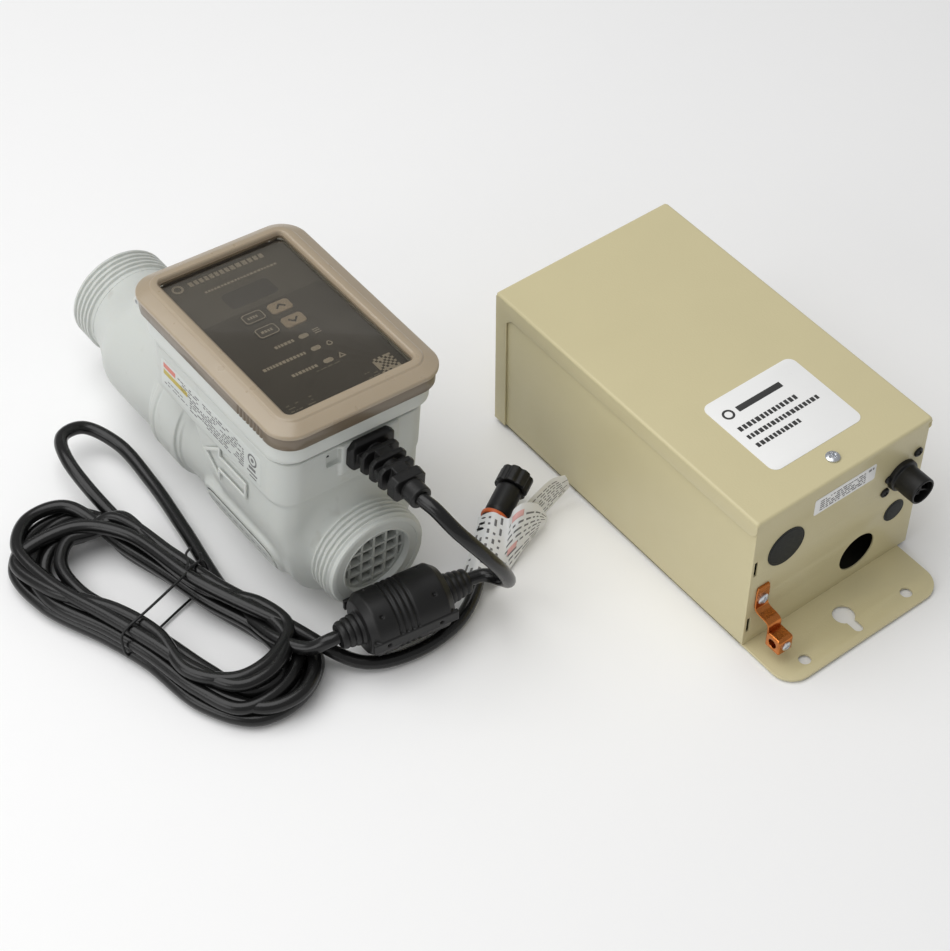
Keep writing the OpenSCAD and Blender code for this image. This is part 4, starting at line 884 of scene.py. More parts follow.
def skirt():
    path = round_rect(COVER_W - 3, COVER_L - 3, 19, 14, 0, COVER_MID)
    dense = []
    for i in range(len(path)):
        a, b = path[i], path[(i + 1) % len(path)]
        steps = max(1, int(np.linalg.norm(b - a) / 0.55))
        dense += [a + (b - a) * k / steps for k in range(steps)]
    start = max((i for i, p in enumerate(dense) if p[0] < 0 and p[1] > SKIRT_END), default=0)
    dense = [p for p in dense[start + 1:] + dense[:start + 1] if p[1] <= SKIRT_END]
    rings = []
    count = len(dense)
    for i, p in enumerate(dense):
        d = dense[min(i + 1, count - 1)] - dense[max(i - 1, 0)]
        d = d / np.linalg.norm(d)
        out = np.array([d[1], -d[0]])
        gripped = grip_y[0] < p[1] < grip_y[1] and abs(p[0]) > COVER_W / 2 - 6
        rib = 1.0 * max(0.0, math.sin(2 * math.pi * (p[1] - grip_y[0]) / 3.9)) ** 0.6 if gripped else 0.0
        low = SKIRT_LOW + max(0.0, 5.0 - 0.8 * (SKIRT_END - p[1]))
        ring = []
        for inset, z in ((0.2, SKIRT_TOP), (rib, SKIRT_TOP - 1), (rib, low + 0.7), (rib + 0.5, low),
                         (2.3, low), (2.7, low + 0.6), (2.7, SKIRT_TOP)):
            q = p - out * inset
            ring.append((q[0], q[1], z))
        rings.append(np.array(ring))
    return loft(rings)


platform_rear = WALL_MID + RIM_L / 2 - 3.5
# Rear wall under the window's back edge, in the darker tan: it stands in as painted shade over the white ledge
# of the rim behind it.
rear_wall = block((-43, platform_rear + 0.8, RIM_TOP + 1.3), (43, platform_rear + 2.0, COVER_TOP - 6.5), 0.4)
piece("cover_skirt", joined(skirt(), rear_wall), SKIRT_TONE_AND_PAINTED_SHADE, "cover", CELL, sharp=50)
knuckles = []
for s in (-52.5, 52.5):
    knuckles.append(hinge_ear(s - 2.2, s + 2.2, 3.6, HINGE_Y, HINGE_Z, HINGE_Y - 1.2))
    knuckles.append(block((s - 2.2, HINGE_Y - 0.6, HINGE_Z), (s + 2.2, HINGE_Y + 3.4, COVER_TOP - 7.6), 0.4))
piece("cover_knuckles", joined(*knuckles), SKIRT_TONE_AND_PAINTED_SHADE, "cover", CELL)
# Faint raised marks on the front band: a latch arc, a ring and two short bars
band_y = cover_lo[1] + 9.5
MARKS = CELL @ shifted(0, band_y, COVER_TOP - 3.25) @ turned("X", 9.5) @ shifted(0, -band_y, 0)
piece("cover_marks",
      joined(plate([round_rect(5.5, 4.5, 0.8, 4, -31, band_y), round_rect(4.1, 3.1, 0.5, 4, -31, band_y)],
                                  -0.2, 0.12, 0.1),
                            plate([circle(3, 12, band_y), circle(2.4, 12, band_y)], -0.2, 0.12, 0.1),
                            plate([round_rect(7, 3.6, 1.6, 5, 33, band_y),
                                   round_rect(5.8, 2.4, 1.1, 5, 33, band_y)],
                                  -0.2, 0.12, 0.1)), TAN, "cover",
      MARKS)

# ---------------------------------------------------------------- cable, strain relief, ferrite block

CABLE_R = 5.0
DIAGONAL = 0.7071
FLANGE_BACK = 10.2
RELIEF = CELL @ shifted(GLAND[0], gland_hi[1] - FLANGE_BACK, GLAND[2]) @ turned("X", 90)
RELIEF_OUT = gland_hi[1] - gland_lo[1] - FLANGE_BACK


def relief_field(x, y, z):
    """Moulded strain relief along +Z: bolted flange, cross-cut ribs tied in pairs, and a collar."""
    radial = np.sqrt(x * x + y * y)
    ax, ay = np.abs(x), np.abs(y)
    flange = field_box(x, y, z - 2.6, (18.5, 12.5, 2.9), 0.8)
    flange = smooth_max(flange, (ax + ay) * DIAGONAL - 18.3, 0.8)
    flange = smooth_max(flange, (z - 5.4) * DIAGONAL + np.maximum(ax - 16.5, ay - 10.5) * DIAGONAL, 0.6)
    solid = smooth_min(flange, field_rod(radial, z - RELIEF_OUT / 2, 6.8, RELIEF_OUT / 2, 0.8), 0.8)
    taper = 1 - 0.16 * np.clip((z - 8) / 40, 0, 1)
    for mid, half in ((12.4, 1.9), (21.6, 1.9), (30.8, 1.9), (42.4, 3.9)):
        rib = field_box(x, y, z - mid, (15.0 * taper, 10.4 * taper, half), 0.7)
        rib = smooth_max(rib, (ax + ay) * DIAGONAL - 15.4 * taper, 0.5)
        solid = smooth_min(solid, rib, 0.4)
    # Ribs one and two, and three and four, are tied on the broad faces; two and three on the narrow ones
    for mid, half in ((17.0, 4.4), (36.2, 5.0)):
        solid = smooth_min(solid, field_box(x, y, z - mid, (5.6, 10.2 * taper, half), 0.6), 0.4)
    for mid in (7.6, 26.2):
        solid = smooth_min(solid, field_box(x, y, z - mid, (13.4 * taper, 3.6, 4.4), 0.6), 0.4)
    collar = field_rod(radial, z - RELIEF_OUT + 5.6, 8.4, 5.6, 0.8)
    solid = smooth_min(solid, collar, 0.5)
    return np.maximum(solid, CABLE_R - 0.3 - radial)


small = 0.5
piece("strain_relief_body", moulded(relief_field, (-20, -14, -1.5), (20, 14, RELIEF_OUT + 1.5), small), BLACK,
      "cell", RELIEF, ["strain_relief"], sharp=55)

FERRITE_HALF, FERRITE_R, BOOT_L = 32.0, 23.5, 20.0


def ferrite_field(x, y, z):
    """Ferrite block along Z: grooved barrel, a parting flat down each side, small pits and ribbed boots."""
    radial = np.sqrt(x * x + y * y)
    along = np.abs(z)
    solid = field_rod(radial, z, FERRITE_R, FERRITE_HALF, 0.7)
    chamfer = (along - FERRITE_HALF + 5.5) * 0.64 + (radial - FERRITE_R) * 0.77
    solid = smooth_max(solid, chamfer, 0.5)
    for i in range(4):
        mid = -3.5 + 4.4 * i + 1.2
        solid = smooth_max(solid, 1.25 - np.sqrt((radial - FERRITE_R - 0.1) ** 2 + (z - mid) ** 2), 0.5)
    strip = field_box(x, np.abs(y) - FERRITE_R + 1.2, z, (4.6, 1.6, FERRITE_HALF + 0.4), 0.7)
    solid = smooth_min(solid, strip, 0.4)
    for turn in PIT_TURNS:
        px, py = FERRITE_R * math.cos(math.radians(turn)), FERRITE_R * math.sin(math.radians(turn))
        for mid in (-19, 21):
            solid = smooth_max(solid, 1.5 - np.sqrt((x - px) ** 2 + (y - py) ** 2 + (z - mid) ** 2), 0.3)
    boot_z = along - FERRITE_HALF
    wave = 1.15 * np.sqrt(np.abs(np.cos(math.pi * boot_z / 4.4)))
    reach = np.where(z < 0, BOOT_L, BOOT_L - 4)
    boot = smooth_max(radial - (11.0 - 0.16 * boot_z + wave), np.abs(boot_z - reach / 2 + 2) - reach / 2 - 2,
                      0.6)
    solid = smooth_min(solid, boot * 0.8, 0.5)
    return np.maximum(solid, CABLE_R - 0.3 - radial)


PIT_TURNS = (35, 90, 145, 215, 270, 325)
piece("ferrite_block", moulded(ferrite_field, (-26, -26, -54), (26, 26, 54), small), BLACK, "cell", FERRITE,
      ["ferrite_housing"], sharp=60)


def cell_point(x, y, z):
    return moved([(x, y, z)], CELL)[0]


def ferrite_point(s):
    return moved([(0, 0, s)], FERRITE)[0]


tie_mid = middle("cable_tie")
COIL = shifted(tie_mid[0], tie_mid[1], floor_z) @ turned("Z", COIL_TURN)
gland_start = cell_point(GLAND[0], WALL_LO + 2, GLAND[2])
gland_end = cell_point(GLAND[0], WALL_LO - 62, GLAND[2])
ferrite_z = FERRITE[2, 3]
plug_axis = PLUG[:3, 2]
plug_base = PLUG[:3, 3]

# The coil: one row per turn, as (half width at the tie, half width of the head, reach of the head, reach of
# the foot, lift). Turns are uneven, cross each other and lie in two or three layers.
TURNS = ((37, 44, 126, 118, 0.6), (29, 36, 112, 121, 10.2), (36, 41, 119, 108, 10.8), (27, 29, 102, 110, 0.4),
         (32, 34, 131, 98, 20.4), (22, 25, 94, 101, 11.0), (25, 38, 124, 92, 20.8))


def coil_loops():
    points = []
    for k, (waist, wide, head, foot, lift) in enumerate(TURNS):
        z = CABLE_R + lift * 0.96
        sway = 4.5 * math.sin(2.3 * k + 0.4)
        sag = 0.5 * (TURNS[(k + 1) % len(TURNS)][4] + lift) * 0.96 + CABLE_R
        # Down the right side, round the foot, up the left side, round the head
        points += [(wide, head * 0.62, z), (waist + 2, 22, z + 0.5), (waist, -18, z + 0.5),
                   (wide - 1, -foot * 0.6, z), (wide * 0.74 + sway, -foot * 0.9, z), (sway, -foot, z + 0.8),
                   (-wide * 0.7 + sway, -foot * 0.9, z), (-wide + 2, -foot * 0.58, z), (-waist, -16, z + 0.4),
                   (-waist - 1, 20, z + 0.4), (-wide, head * 0.6, z * 0.6 + sag * 0.4),
                   (-wide * 0.72 - sway, head * 0.9, z * 0.4 + sag * 0.6), (-sway, head, sag),
                   (wide * 0.72 - sway, head * 0.9, sag)]
    return [moved([p], COIL)[0] for p in points[:-2]]


def cable_course():
    lift = floor_z
    course = spline([gland_start, gland_start * 0.4 + gland_end * 0.6, gland_end, gland_end + (2, -11, -1.5),
                   (23, -227, 70), (37, -238, 47), (52, -240, 20), (62, -234, -3), (65, -222, ferrite_z + 3),
                   (60, -210.5, ferrite_z),
                   ferrite_point(-FERRITE_HALF - BOOT_L - 3), ferrite_point(-FERRITE_HALF - 6),
                   ferrite_point(0), ferrite_point(FERRITE_HALF + 6),
                     ferrite_point(FERRITE_HALF + BOOT_L + 3),
                   (-70, -184, lift + 27), (-81, -158, lift + 22), (-82, -100, lift + 12),
                   (-72, -30, lift + 8), (-66, 25, lift + 8), (-68, 68, lift + 14), (-82, 92, lift + 20),
                   (-100, 90, lift + 24), (-110, 66, lift + 26)] + coil_loops()
                  + [moved([(10, 96, 26)], COIL)[0], moved([(27, 62, 28)], COIL)[0],
                     moved([(24, -10, 29)], COIL)[0],
                     moved([(34, -78, 24)], COIL)[0], (-40, -203, lift + 8), (-4, -216, lift + 5),
                     (34, -213, lift + 5), (62, -198, lift + 9), plug_base - 24 * plug_axis,
                     plug_base - 14 * plug_axis, plug_base + 2 * plug_axis], 2.4)
    course[:, 2] = np.maximum(course[:, 2], floor_z + CABLE_R)
    return course


piece("cable", tube(cable_course(), CABLE_R, 14), JACKET, "cell", None, ["main_cable"],
      sharp=0)

# Thin wire tie round the bundle: a flattened loop with two twisted tails
tie_loop = []
for t in full_circle(60):
    c, s = math.cos(t), math.sin(t)
    tie_loop.append((43.5 * math.copysign(abs(c) ** 0.5, c), 1.5 * math.sin(3 * t),
                     17.2 + 16.4 * math.copysign(abs(s) ** 0.6, s)))
tails = [[(24, 0, 33.6), (28, -2, 37), (33, -5, 40), (36, -3, 44)],
         [(24, 1, 33.6), (29, 3, 36), (33, 8, 37.5), (39, 9, 38)]]
tie_parts = [tube(np.array(tie_loop + tie_loop[:1]), 0.95, 8)] + [tube(spline(t, 1.2), 0.9, 8) for t in tails]
piece("bundle_tie", joined(*tie_parts), BLACK, "cell", COIL, ["cable_tie"])

# ---------------------------------------------------------------- plug and tag

NUT_R, PLUG_R = 12.6, 9.6


def plug_shell(x, y, z):
    radial = np.sqrt(x * x + y * y)
    shell = smooth_max(radial - (8.3 + (PLUG_R - 8.3) * np.clip((z - 3) / 6, 0, 1)), np.abs(z - 16.9) - 13.8,
                       1.0)
    boot = radial - (7.0 + 0.11 * (z + 11) + 0.75 * np.cos(2 * math.pi * (z + 11) / 4.4))
    boot = smooth_max(boot * 0.85, np.abs(z + 4) - 8.5, 0.8)
    nose = field_rod(radial, z - 36, 7.9, 8.0, 0.6)
    solid = smooth_min(smooth_min(shell, boot, 0.8), nose, 0.3)
    cup = np.maximum(radial - 6.6, PLUG_L - 6 - z)
    passage = np.maximum(radial - CABLE_R + 0.3, z - 3)
    return np.maximum(solid, -np.minimum(cup, passage))


piece("plug_shell", moulded(plug_shell, (-11, -11, -13.5), (11, 11, 45), small), BLACK, "cell", PLUG,
      ["plug_body"], sharp=60)


def nut_field(x, y, z):
    radial = np.sqrt(x * x + y * y)
    angle = np.arctan2(y, x)
    lobes = np.abs(((angle / (math.pi / 4)) % 1) - 0.5) * 2
    outer = smooth_max(radial - NUT_R + 1.3 * (1 - slope(lobes * 1.6)), np.abs(z - NUT_MIDDLE) - 6.7, 0.8)
    recess = np.maximum(radial - 10.5, 33 - z)
    passage = radial - 8.1
    return np.maximum(outer, -np.minimum(recess, passage))


piece("coupling_nut_body", moulded(nut_field, (-13.6, -13.6, 30), (13.6, 13.6, 46), small), BLACK,
      "coupling_nut", PLUG, ["plug_nut"], sharp=60)
piece("plug_key_ring",
      lathe(soften([(PLUG_R - 0.4, 2.2), (PLUG_R + 0.9, 2.6), (PLUG_R + 1.0, 5.2), (PLUG_R - 0.2, 6.0)],
                                    0.5, 3), loop=True), ORANGE, "cell", PLUG)
piece("plug_face_seal", lathe([(5.5, 39.1), (6.4, 39.3), (6.4, 40.7), (5.5, 40.9)], loop=True), ORANGE,
      "cell", PLUG, ["plug_seal"])
pins = []
for a in (0, 120, 240):
    pin = lathe([(0.2, 30), (1.2, 30.2), (1.2, 41.5), (0.9, 42.6), (0.2, 43)], 20)
    pins.append(placed(pin, turned("Z", a) @ shifted(3.6, 0, 0)))
piece("plug_pins", joined(*pins), BRASS, "cell", PLUG, ["plug_contacts"])


def sheet(grid, thickness=0.35):
    """Thin sheet over a grid of points, with a little thickness."""
    du, dv = np.gradient(grid, axis=0), np.gradient(grid, axis=1)
    normal = np.cross(du, dv)
    normal /= np.maximum(np.linalg.norm(normal, axis=2), 1e-9)[:, :, None]
    n, m = grid.shape[:2]
    points = np.vstack([(grid + normal * thickness / 2).reshape(-1, 3),
                        (grid - normal * thickness / 2).reshape(-1, 3)])
    faces, low = [], n * m
    for i in range(n - 1):
        for j in range(m - 1):
            a, b, c, d = i * m + j, (i + 1) * m + j, (i + 1) * m + j + 1, i * m + j + 1
            faces += [(a, b, c, d), (low + d, low + c, low + b, low + a)]
    rim = [(0, j) for j in range(m)] + [(i, m - 1) for i in range(1, n)]
    rim += [(n - 1, j) for j in range(m - 2, -1, -1)] + [(i, 0) for i in range(n - 2, 0, -1)]
    for (i0, j0), (i1, j1) in zip(rim, rim[1:] + rim[:1]):
        a, b = i0 * m + j0, i1 * m + j1
        faces.append((a, low + a, low + b, b))
    return points, faces


# The tag: one leaf lies over the cable and the end of the plug and folds down into a leaf that stands beside
# it; a second, narrower leaf stands behind. Each is given as (low edge, high edge) pairs in the tag's axes.
TAG = shifted(plug_base[0], plug_base[1], floor_z) @ turned("Z", PLUG_TURN)
FRONT_LEAF = (((-47, 3, 11), (-1, 10.5, 22)), ((-47, -7, 17.5), (1, 0, 30.6)),
              ((-43, -17, 9), (3, -11.5, 27)),
              ((-32, -20.5, 1.5), (6, -14, 35)), ((-16, -22.5, 0.8), (10, -18, 39)),
              ((2, -24, 0.8), (17, -22.5, 35)),
              ((18, -26, 0.8), (25, -26, 25)), ((28, -28, 0.8), (31, -29, 9)))
BACK_LEAF = (((4, -17, 1), (10, -15, 29)), ((28, -22, 1), (33, -20, 29)), ((47, -27, 3), (50, -24, 27)),
             ((63, -33, 9), (61, -30, 23)))
TAG_FINE = 90


def leaf_grid(edges, bulge):
    """Grid of points over a leaf: along its course first, then from its low edge to its high edge."""
    sides = []
    for k in (0, 1):
        fine = spline([e[k] for e in edges], 0.5)
        at = np.linspace(0, len(fine) - 1, TAG_FINE)
        sides.append(np.column_stack([np.interp(at, range(len(fine)), fine[:, c]) for c in range(3)]))
    share = np.linspace(0, 1, 31)[None, :, None]
    grid = sides[0][:, None, :] * (1 - share) + sides[1][:, None, :] * share
    grid[:, :, 1:] += bulge * np.sin(math.pi * share) * np.array([-0.8, 0.6])
    return grid


def tag_patch(grid, u0, u1, v0, v1, side):
    """Printed patch on a leaf, between shares u0 and u1 of its course and v0 and v1 of its height."""
    n, m = grid.shape[:2]
    part = grid[int(u0 * n):max(int(u1 * n), int(u0 * n) + 2), int(v0 * m):max(int(v1 * m), int(v0 * m) + 2)]
    du, dv = np.gradient(part, axis=0), np.gradient(part, axis=1)
    normal = np.cross(du, dv)
    normal /= np.linalg.norm(normal, axis=2)[:, :, None]
    return sheet(part + side * 0.24 * normal, 0.05)


front_leaf, back_leaf = leaf_grid(FRONT_LEAF, 1.6), leaf_grid(BACK_LEAF, 1.2)
piece("tag_sheet", joined(sheet(front_leaf), sheet(back_leaf)), PAPER, "cell", TAG, ["cable_tag"],
      sharp=50)
tag_inks, tag_pinks = [], []
for side in (1, -1):
    # Lines along the leaf over the cable, then lines across the standing leaves
    for u in (0.03, 0.085, 0.14, 0.195, 0.25):
        v = 0.06
        while v < 0.9:
            run = rng.uniform(0.05, 0.14)
            if rng.random() < 0.85:
                tag_inks.append(tag_patch(front_leaf, u, u + 0.028, v, v + run, side))
            v += run + 0.035
    for grid, start, end in ((front_leaf, 0.36, 0.9), (back_leaf, 0.3, 0.9)):
        for row in range(8):
            u, v = start, 0.1 + row * 0.1
            while u < end:
                run = rng.uniform(0.04, 0.12)
                if rng.random() < 0.85:
                    tag_inks.append(tag_patch(grid, u, u + run, v, v + 0.04, side))
                u += run + 0.02
    for u, v in ((0.42, 0.78), (0.40, 0.34)):
        tag_pinks.append(tag_patch(front_leaf, u, u + 0.14, v, v + 0.14, side))
piece("tag_print", joined(*tag_inks), INK_GREY, "cell", TAG, sharp=0)
piece("tag_blocks", joined(*tag_pinks), INK_PINK, "cell", TAG @ shifted(0, -0.05, 0.05),
      sharp=0)

# ---------------------------------------------------------------- power supply: case

CASE_W, CASE_L, CASE_H = lid_hi[0] - lid_lo[0], lid_hi[1] - front_y, lid_hi[2] - floor_z
SHEET = 1.5
shell_lo, shell_hi = local_box("case_shell", SUPPLY)
base_lo, base_hi = local_box("back_plate", SUPPLY)
barrel = middle("receptacle", SUPPLY)
CONDUIT = (106.4, 26.6, 16.5)
SHUT = ((31.4, 86.5, 16.5), (138.0, 49.0, 9.5))
SOCKET = (138.0, 87.0, 10.5)
SOCKET_SCREWS = ((-13.9, -10.0), (13.9, 13.0))
STRAP_X = 14.0
FRONT = SUPPLY @ turned("X", 90)


def keyhole(cx, cy, r, slot_y, slot_r, n=24):
    """Keyhole outline: a round head with a narrower round-ended slot towards -Y."""
    half = math.asin(slot_r / r)
    start, end = -math.pi / 2 + half, 3 * math.pi / 2 - half
    head = [(cx + r * math.cos(a), cy + r * math.sin(a)) for a in np.linspace(start, end, n)]
    foot = [(cx + slot_r * math.cos(a), slot_y + slot_r * math.sin(a))
            for a in np.linspace(math.pi, 2 * math.pi, 12)]
    return head + foot


plate_w, plate_l = base_hi[0] - base_lo[0], base_hi[1] - base_lo[1]
base_mid = (base_lo + base_hi) / 2
piece("mounting_plate", plate([round_rect(plate_w - 0.5, plate_l - 0.5, 17, 12, base_mid[0], base_mid[1]),
                               circle(4.8, 28, -35), circle(4.8, 125, -35),
                               keyhole(76.5, -22.6, 8.5, -37, 4)],
                              base_lo[2], base_hi[2], 0.3), PAINT, "supply", SUPPLY, ["back_plate"])

x0, x1, top, rear = shell_lo[0], shell_hi[0], shell_hi[2], shell_hi[1]
front_holes = [circle(CONDUIT[2], CONDUIT[0], CONDUIT[1], 56),
               circle(SOCKET[2] + 0.3, SOCKET[0], SOCKET[1], 48),
               circle(2.1, STRAP_X, 46, 20)]
front_holes += [circle(h[2], h[0], h[1], 56) for h in SHUT]
front_holes += [circle(2.1, SOCKET[0] + dx, SOCKET[1] + dz, 20) for dx, dz in SOCKET_SCREWS]
front_holes += [round_rect(3.4, 15, 0.6, 3, x0 + 3.6, z) for z in (81, 22)]
front_sheet = plate([round_rect(x1 - x0 - 0.3, top - 2.3, 0.5, 2, (x0 + x1) / 2, (top + 2) / 2)]
                    + front_holes, -SHEET, 0.0, 0.3)
side_walls = [block((x, 0.8, 2.1), (x + SHEET, rear, top), 0.45) for x in (x0, x1 - SHEET)]
floor_sheet = block((x0, 0.6, 2), (x1, rear, 2 + SHEET), 0.45)
rear_flange = block((x0, rear - SHEET, 2), (x1, rear, 14), 0.4)
screw_tab = block((60, 0.4, top - SHEET), (100, 24, top), 0.4)      # the lid screw bites into it
bend = [tube([(x, 1.0, 2.6), (x, 1.0, top - 0.4)], 1.0, 16) for x in (x0 + 1.0, x1 - 1.0)]
piece("case_body", joined(placed(front_sheet, turned("X", 90)), *side_walls, *bend, rear_flange, screw_tab),
      PAINT, "supply", SUPPLY, ["case_shell"])
# The floor inside the case is given painted shade, near black, where it shows through the open conduit hole
piece("case_floor", floor_sheet, INSIDE_PAINTED_SHADE, "supply", SUPPLY)
plug_discs = []
for hx, hz, hr in SHUT:
    rows = soften([(0.2, 0.5), (hr - 2.2, 0.55), (hr - 1.4, 0.15), (hr - 0.1, 0.5), (hr - 0.1, -SHEET),
                   (hr + 1.5, -SHEET - 0.1), (hr + 1.5, -SHEET - 1.6), (0.2, -SHEET - 1.6)], 0.3, 2)
    plug_discs.append(placed(lathe(rows, 64), shifted(hx, hz, 0)))
piece("knockout_plugs", joined(*plug_discs), PLUG_DISC, "supply", FRONT, ["hole_plugs"])

# Lid: top sheet folded down at the front and along both sides, with rounded front ends
LIP = 1.2
lid_front = lid_lo[1] - front_y
side_lip = 15.0


def lid_side_outline():
    """Side lip seen from the side: (along, height)."""
    low = CASE_H - side_lip
    nose = [(8 - 8.5 * math.sin(a), low + 7.5 - 7.5 * math.cos(a)) for a in np.linspace(0, math.pi / 2, 9)]
    return ([(lid_front + 0.6, CASE_H - 3.2), (CASE_L - 0.4, CASE_H - 3.2), (CASE_L - 0.2, 2.4),
             (CASE_L - 12, 2.4), (CASE_L - 12, low - 6), (CASE_L - 18, low)] + nose)


# The lid's top: a shallow tray with rounded bends on all four sides
bend_r, tray_h = 2.2, 3.6
lid_cy, lid_l = (lid_front + CASE_L) / 2, CASE_L - lid_front
tray = [(CASE_W - 2 * LIP, lid_l - 2 * LIP, 1.0, lid_cy, z) for z in (CASE_H - LIP, CASE_H - tray_h)]
tray.append((CASE_W, lid_l, 2.0, lid_cy, CASE_H - tray_h))
for a in np.linspace(0, math.pi / 2, 8):
    inset = 2 * bend_r * (1 - math.cos(a))
    tray.append((CASE_W - inset, lid_l - inset, 2.0, lid_cy, CASE_H - bend_r + bend_r * math.sin(a)))
lid_top = plan_loft(tray, n=5, cx=CASE_W / 2)
side_plates = []
for x in (0.04, CASE_W - LIP - 0.04):
    outline = plate([lid_side_outline()], 0, LIP, 0.3)
    side_plates.append(placed(outline, np.array([[0, 0, 1, x], [1, 0, 0, 0], [0, 1, 0, 0], [0, 0, 0, 1.0]])))
rear_plate = placed(plate([round_rect(CASE_W - 2.4, CASE_H - 3.4, 0.8, 3, CASE_W / 2, CASE_H / 2 + 0.6)], 0,
                          SHEET, 0.4),
                    shifted(0, CASE_L, 0) @ turned("X", 90))
piece("case_lid_sheet", joined(lid_top, *side_plates, rear_plate), PAINT, "lid", SUPPLY, ["case_lid"],
      sharp=32)

LABEL_TOP = SUPPLY @ shifted(0, 0, CASE_H)
label_mid = middle("lid_label", SUPPLY)
piece("lid_sticker", plate([round_rect(82, 74, 6.5, 10, label_mid[0], label_mid[1])], 0, 0.3, 0.1), LABEL,
      "lid", LABEL_TOP, ["lid_label"])
lx, ly = label_mid[0] - 41, label_mid[1] - 37
title = plate([circle(4.6, lx + 11, ly + 58, 30), circle(2.9, lx + 11, ly + 58, 30)], 0, 0.06, 0.02)
title_bars = bars([(lx + 19, ly + 55.4, 40, 5.2)])
words = (line_of_blocks(lx + 7, lx + 62, ly + 43, 4.4, 1.1, (2.2, 3.4))
         + line_of_blocks(lx + 7, lx + 74, ly + 34, 4.0, 1.0, (2, 3.2))
         + line_of_blocks(lx + 7, lx + 46, ly + 25, 4.0, 1.0, (2, 3.2)))
piece("lid_print", joined(title, title_bars, bars(words)), DARK_INK_AND_PAINTED_SHADE, "lid", LABEL_TOP @ shifted(0, 0, 0.3))

RATING = SUPPLY @ turned("X", 90)
rate_lo, rate_hi = local_box("rating_label", SUPPLY)
piece("rating_sticker", plate([round_rect(rate_hi[0] - rate_lo[0], rate_hi[2] - rate_lo[2], 1.6, 5,
                                          (rate_lo[0] + rate_hi[0]) / 2, (rate_lo[2] + rate_hi[2]) / 2)], 0,
                              0.3, 0.1),
      LABEL, "supply", RATING, ["rating_label"])
rows = fine_print(rate_lo[0] + 5, rate_hi[0] - 9, [rate_lo[2] + 2.2 + 2.2 * i for i in range(5)], 1.25, 0.85,
                  5)
rows += [(rate_hi[0] - 7, rate_hi[2] - 4.4, 2.6, 2.2), (rate_hi[0] - 3.4, rate_hi[2] - 4.4, 1.4, 2.2)]
piece("rating_print", bars(rows), INK_GREY, "supply", RATING @ shifted(0, 0, 0.3))


# ---------------------------------------------------------------- power supply: fittings on the front

def screw_geometry(head_r, head_h, shank_r, length, recess=0.45):
    """Pan-head screw along +Z with its head on z = 0, and a cross recess sunk into the head."""
    profile = [(0.02, -length), (shank_r - 0.3, -length), (shank_r, -length + 0.6), (shank_r, 0),
               (head_r * 0.97, 0)]
    for r in np.linspace(0.98, 0.04, 16):
        profile.append((head_r * r, head_h * math.sqrt(max(0.0, 1 - (r * 0.92) ** 2.4))))
    points, faces = lathe(profile, 64)
    radial = np.hypot(points[:, 0], points[:, 1])
    arm = np.minimum(np.abs(points[:, 0]), np.abs(points[:, 1]))
    inside = (points[:, 2] > head_h * 0.3) & (radial < head_r * 0.62)
    across = np.clip((head_r * 0.17 - arm) / (head_r * 0.05), 0, 1)
    reach = np.clip((head_r * 0.62 - radial) / (head_r * 0.1), 0, 1)
    points[:, 2] -= np.where(inside, across * reach * head_h * recess, 0)
    return points, faces


lid_screw = middle("lid_screw", SUPPLY)
piece("lid_screw_head", screw_geometry(5.2, 2.5, 2.0, 9), STEEL, "lid_fastener",
      SUPPLY @ shifted(lid_screw[0], lid_screw[1], CASE_H), ["lid_screw"], sharp=30)


def socket_field(x, y, z):
    """Panel socket along +Z: round flange and a round barrel with a three-part face."""
    radial = np.sqrt(x * x + y * y)
    shell = field_rod(radial, z - 6, SOCKET[2], 15.8, 1.0)
    collar = field_rod(radial, z - 1.4, 12.6, 2.6, 1.0)
    solid = smooth_min(shell, collar, 0.8)
    cup = np.maximum(radial - SOCKET[2] + 1.7, 9.0 - z)
    angle = np.arctan2(y, x)
    web = np.full_like(radial, 9.0)
    for a in (90, 210, 330):
        t = math.radians(a)
        along, off = x * math.cos(t) + y * math.sin(t), -x * math.sin(t) + y * math.cos(t)
        web = np.minimum(web, np.maximum(np.abs(off) - 0.9, -along))
    web = np.maximum(web, z - 19)
    core = smooth_max(web, radial - 9, 0.2)
    solid = np.minimum(np.maximum(solid, -cup), core)
    for a in (30, 150, 270):
        t = math.radians(a)
        solid = np.minimum(solid,
                           field_rod(np.sqrt((x - 5 * math.cos(t)) ** 2 + (y - 5 * math.sin(t)) ** 2), z - 13,
                                     1.3, 5, 0.4))
    return solid


SOCKET_PLACE = FRONT @ shifted(SOCKET[0], SOCKET[1], 0)
socket = moulded(socket_field, (-14, -14, -11), (14, 14, 23), small)
piece("socket_body", socket, BLACK, "supply", SOCKET_PLACE, ["receptacle"], sharp=60)
socket_screws = [placed(screw_geometry(3.9, 2.2, 1.8, 7), shifted(dx, dz, 0)) for dx, dz in SOCKET_SCREWS]
hub = lathe(soften([(0.2, 0), (3.0, 0), (3.0, 1.2), (2.2, 1.8), (0.2, 1.9)], 0.3, 2), 36)
piece("socket_screws", joined(*socket_screws, placed(hub, shifted(-12.8, 2.6, 0))), BLACK, "supply",
      SOCKET_PLACE, ["receptacle_screws"], sharp=30)

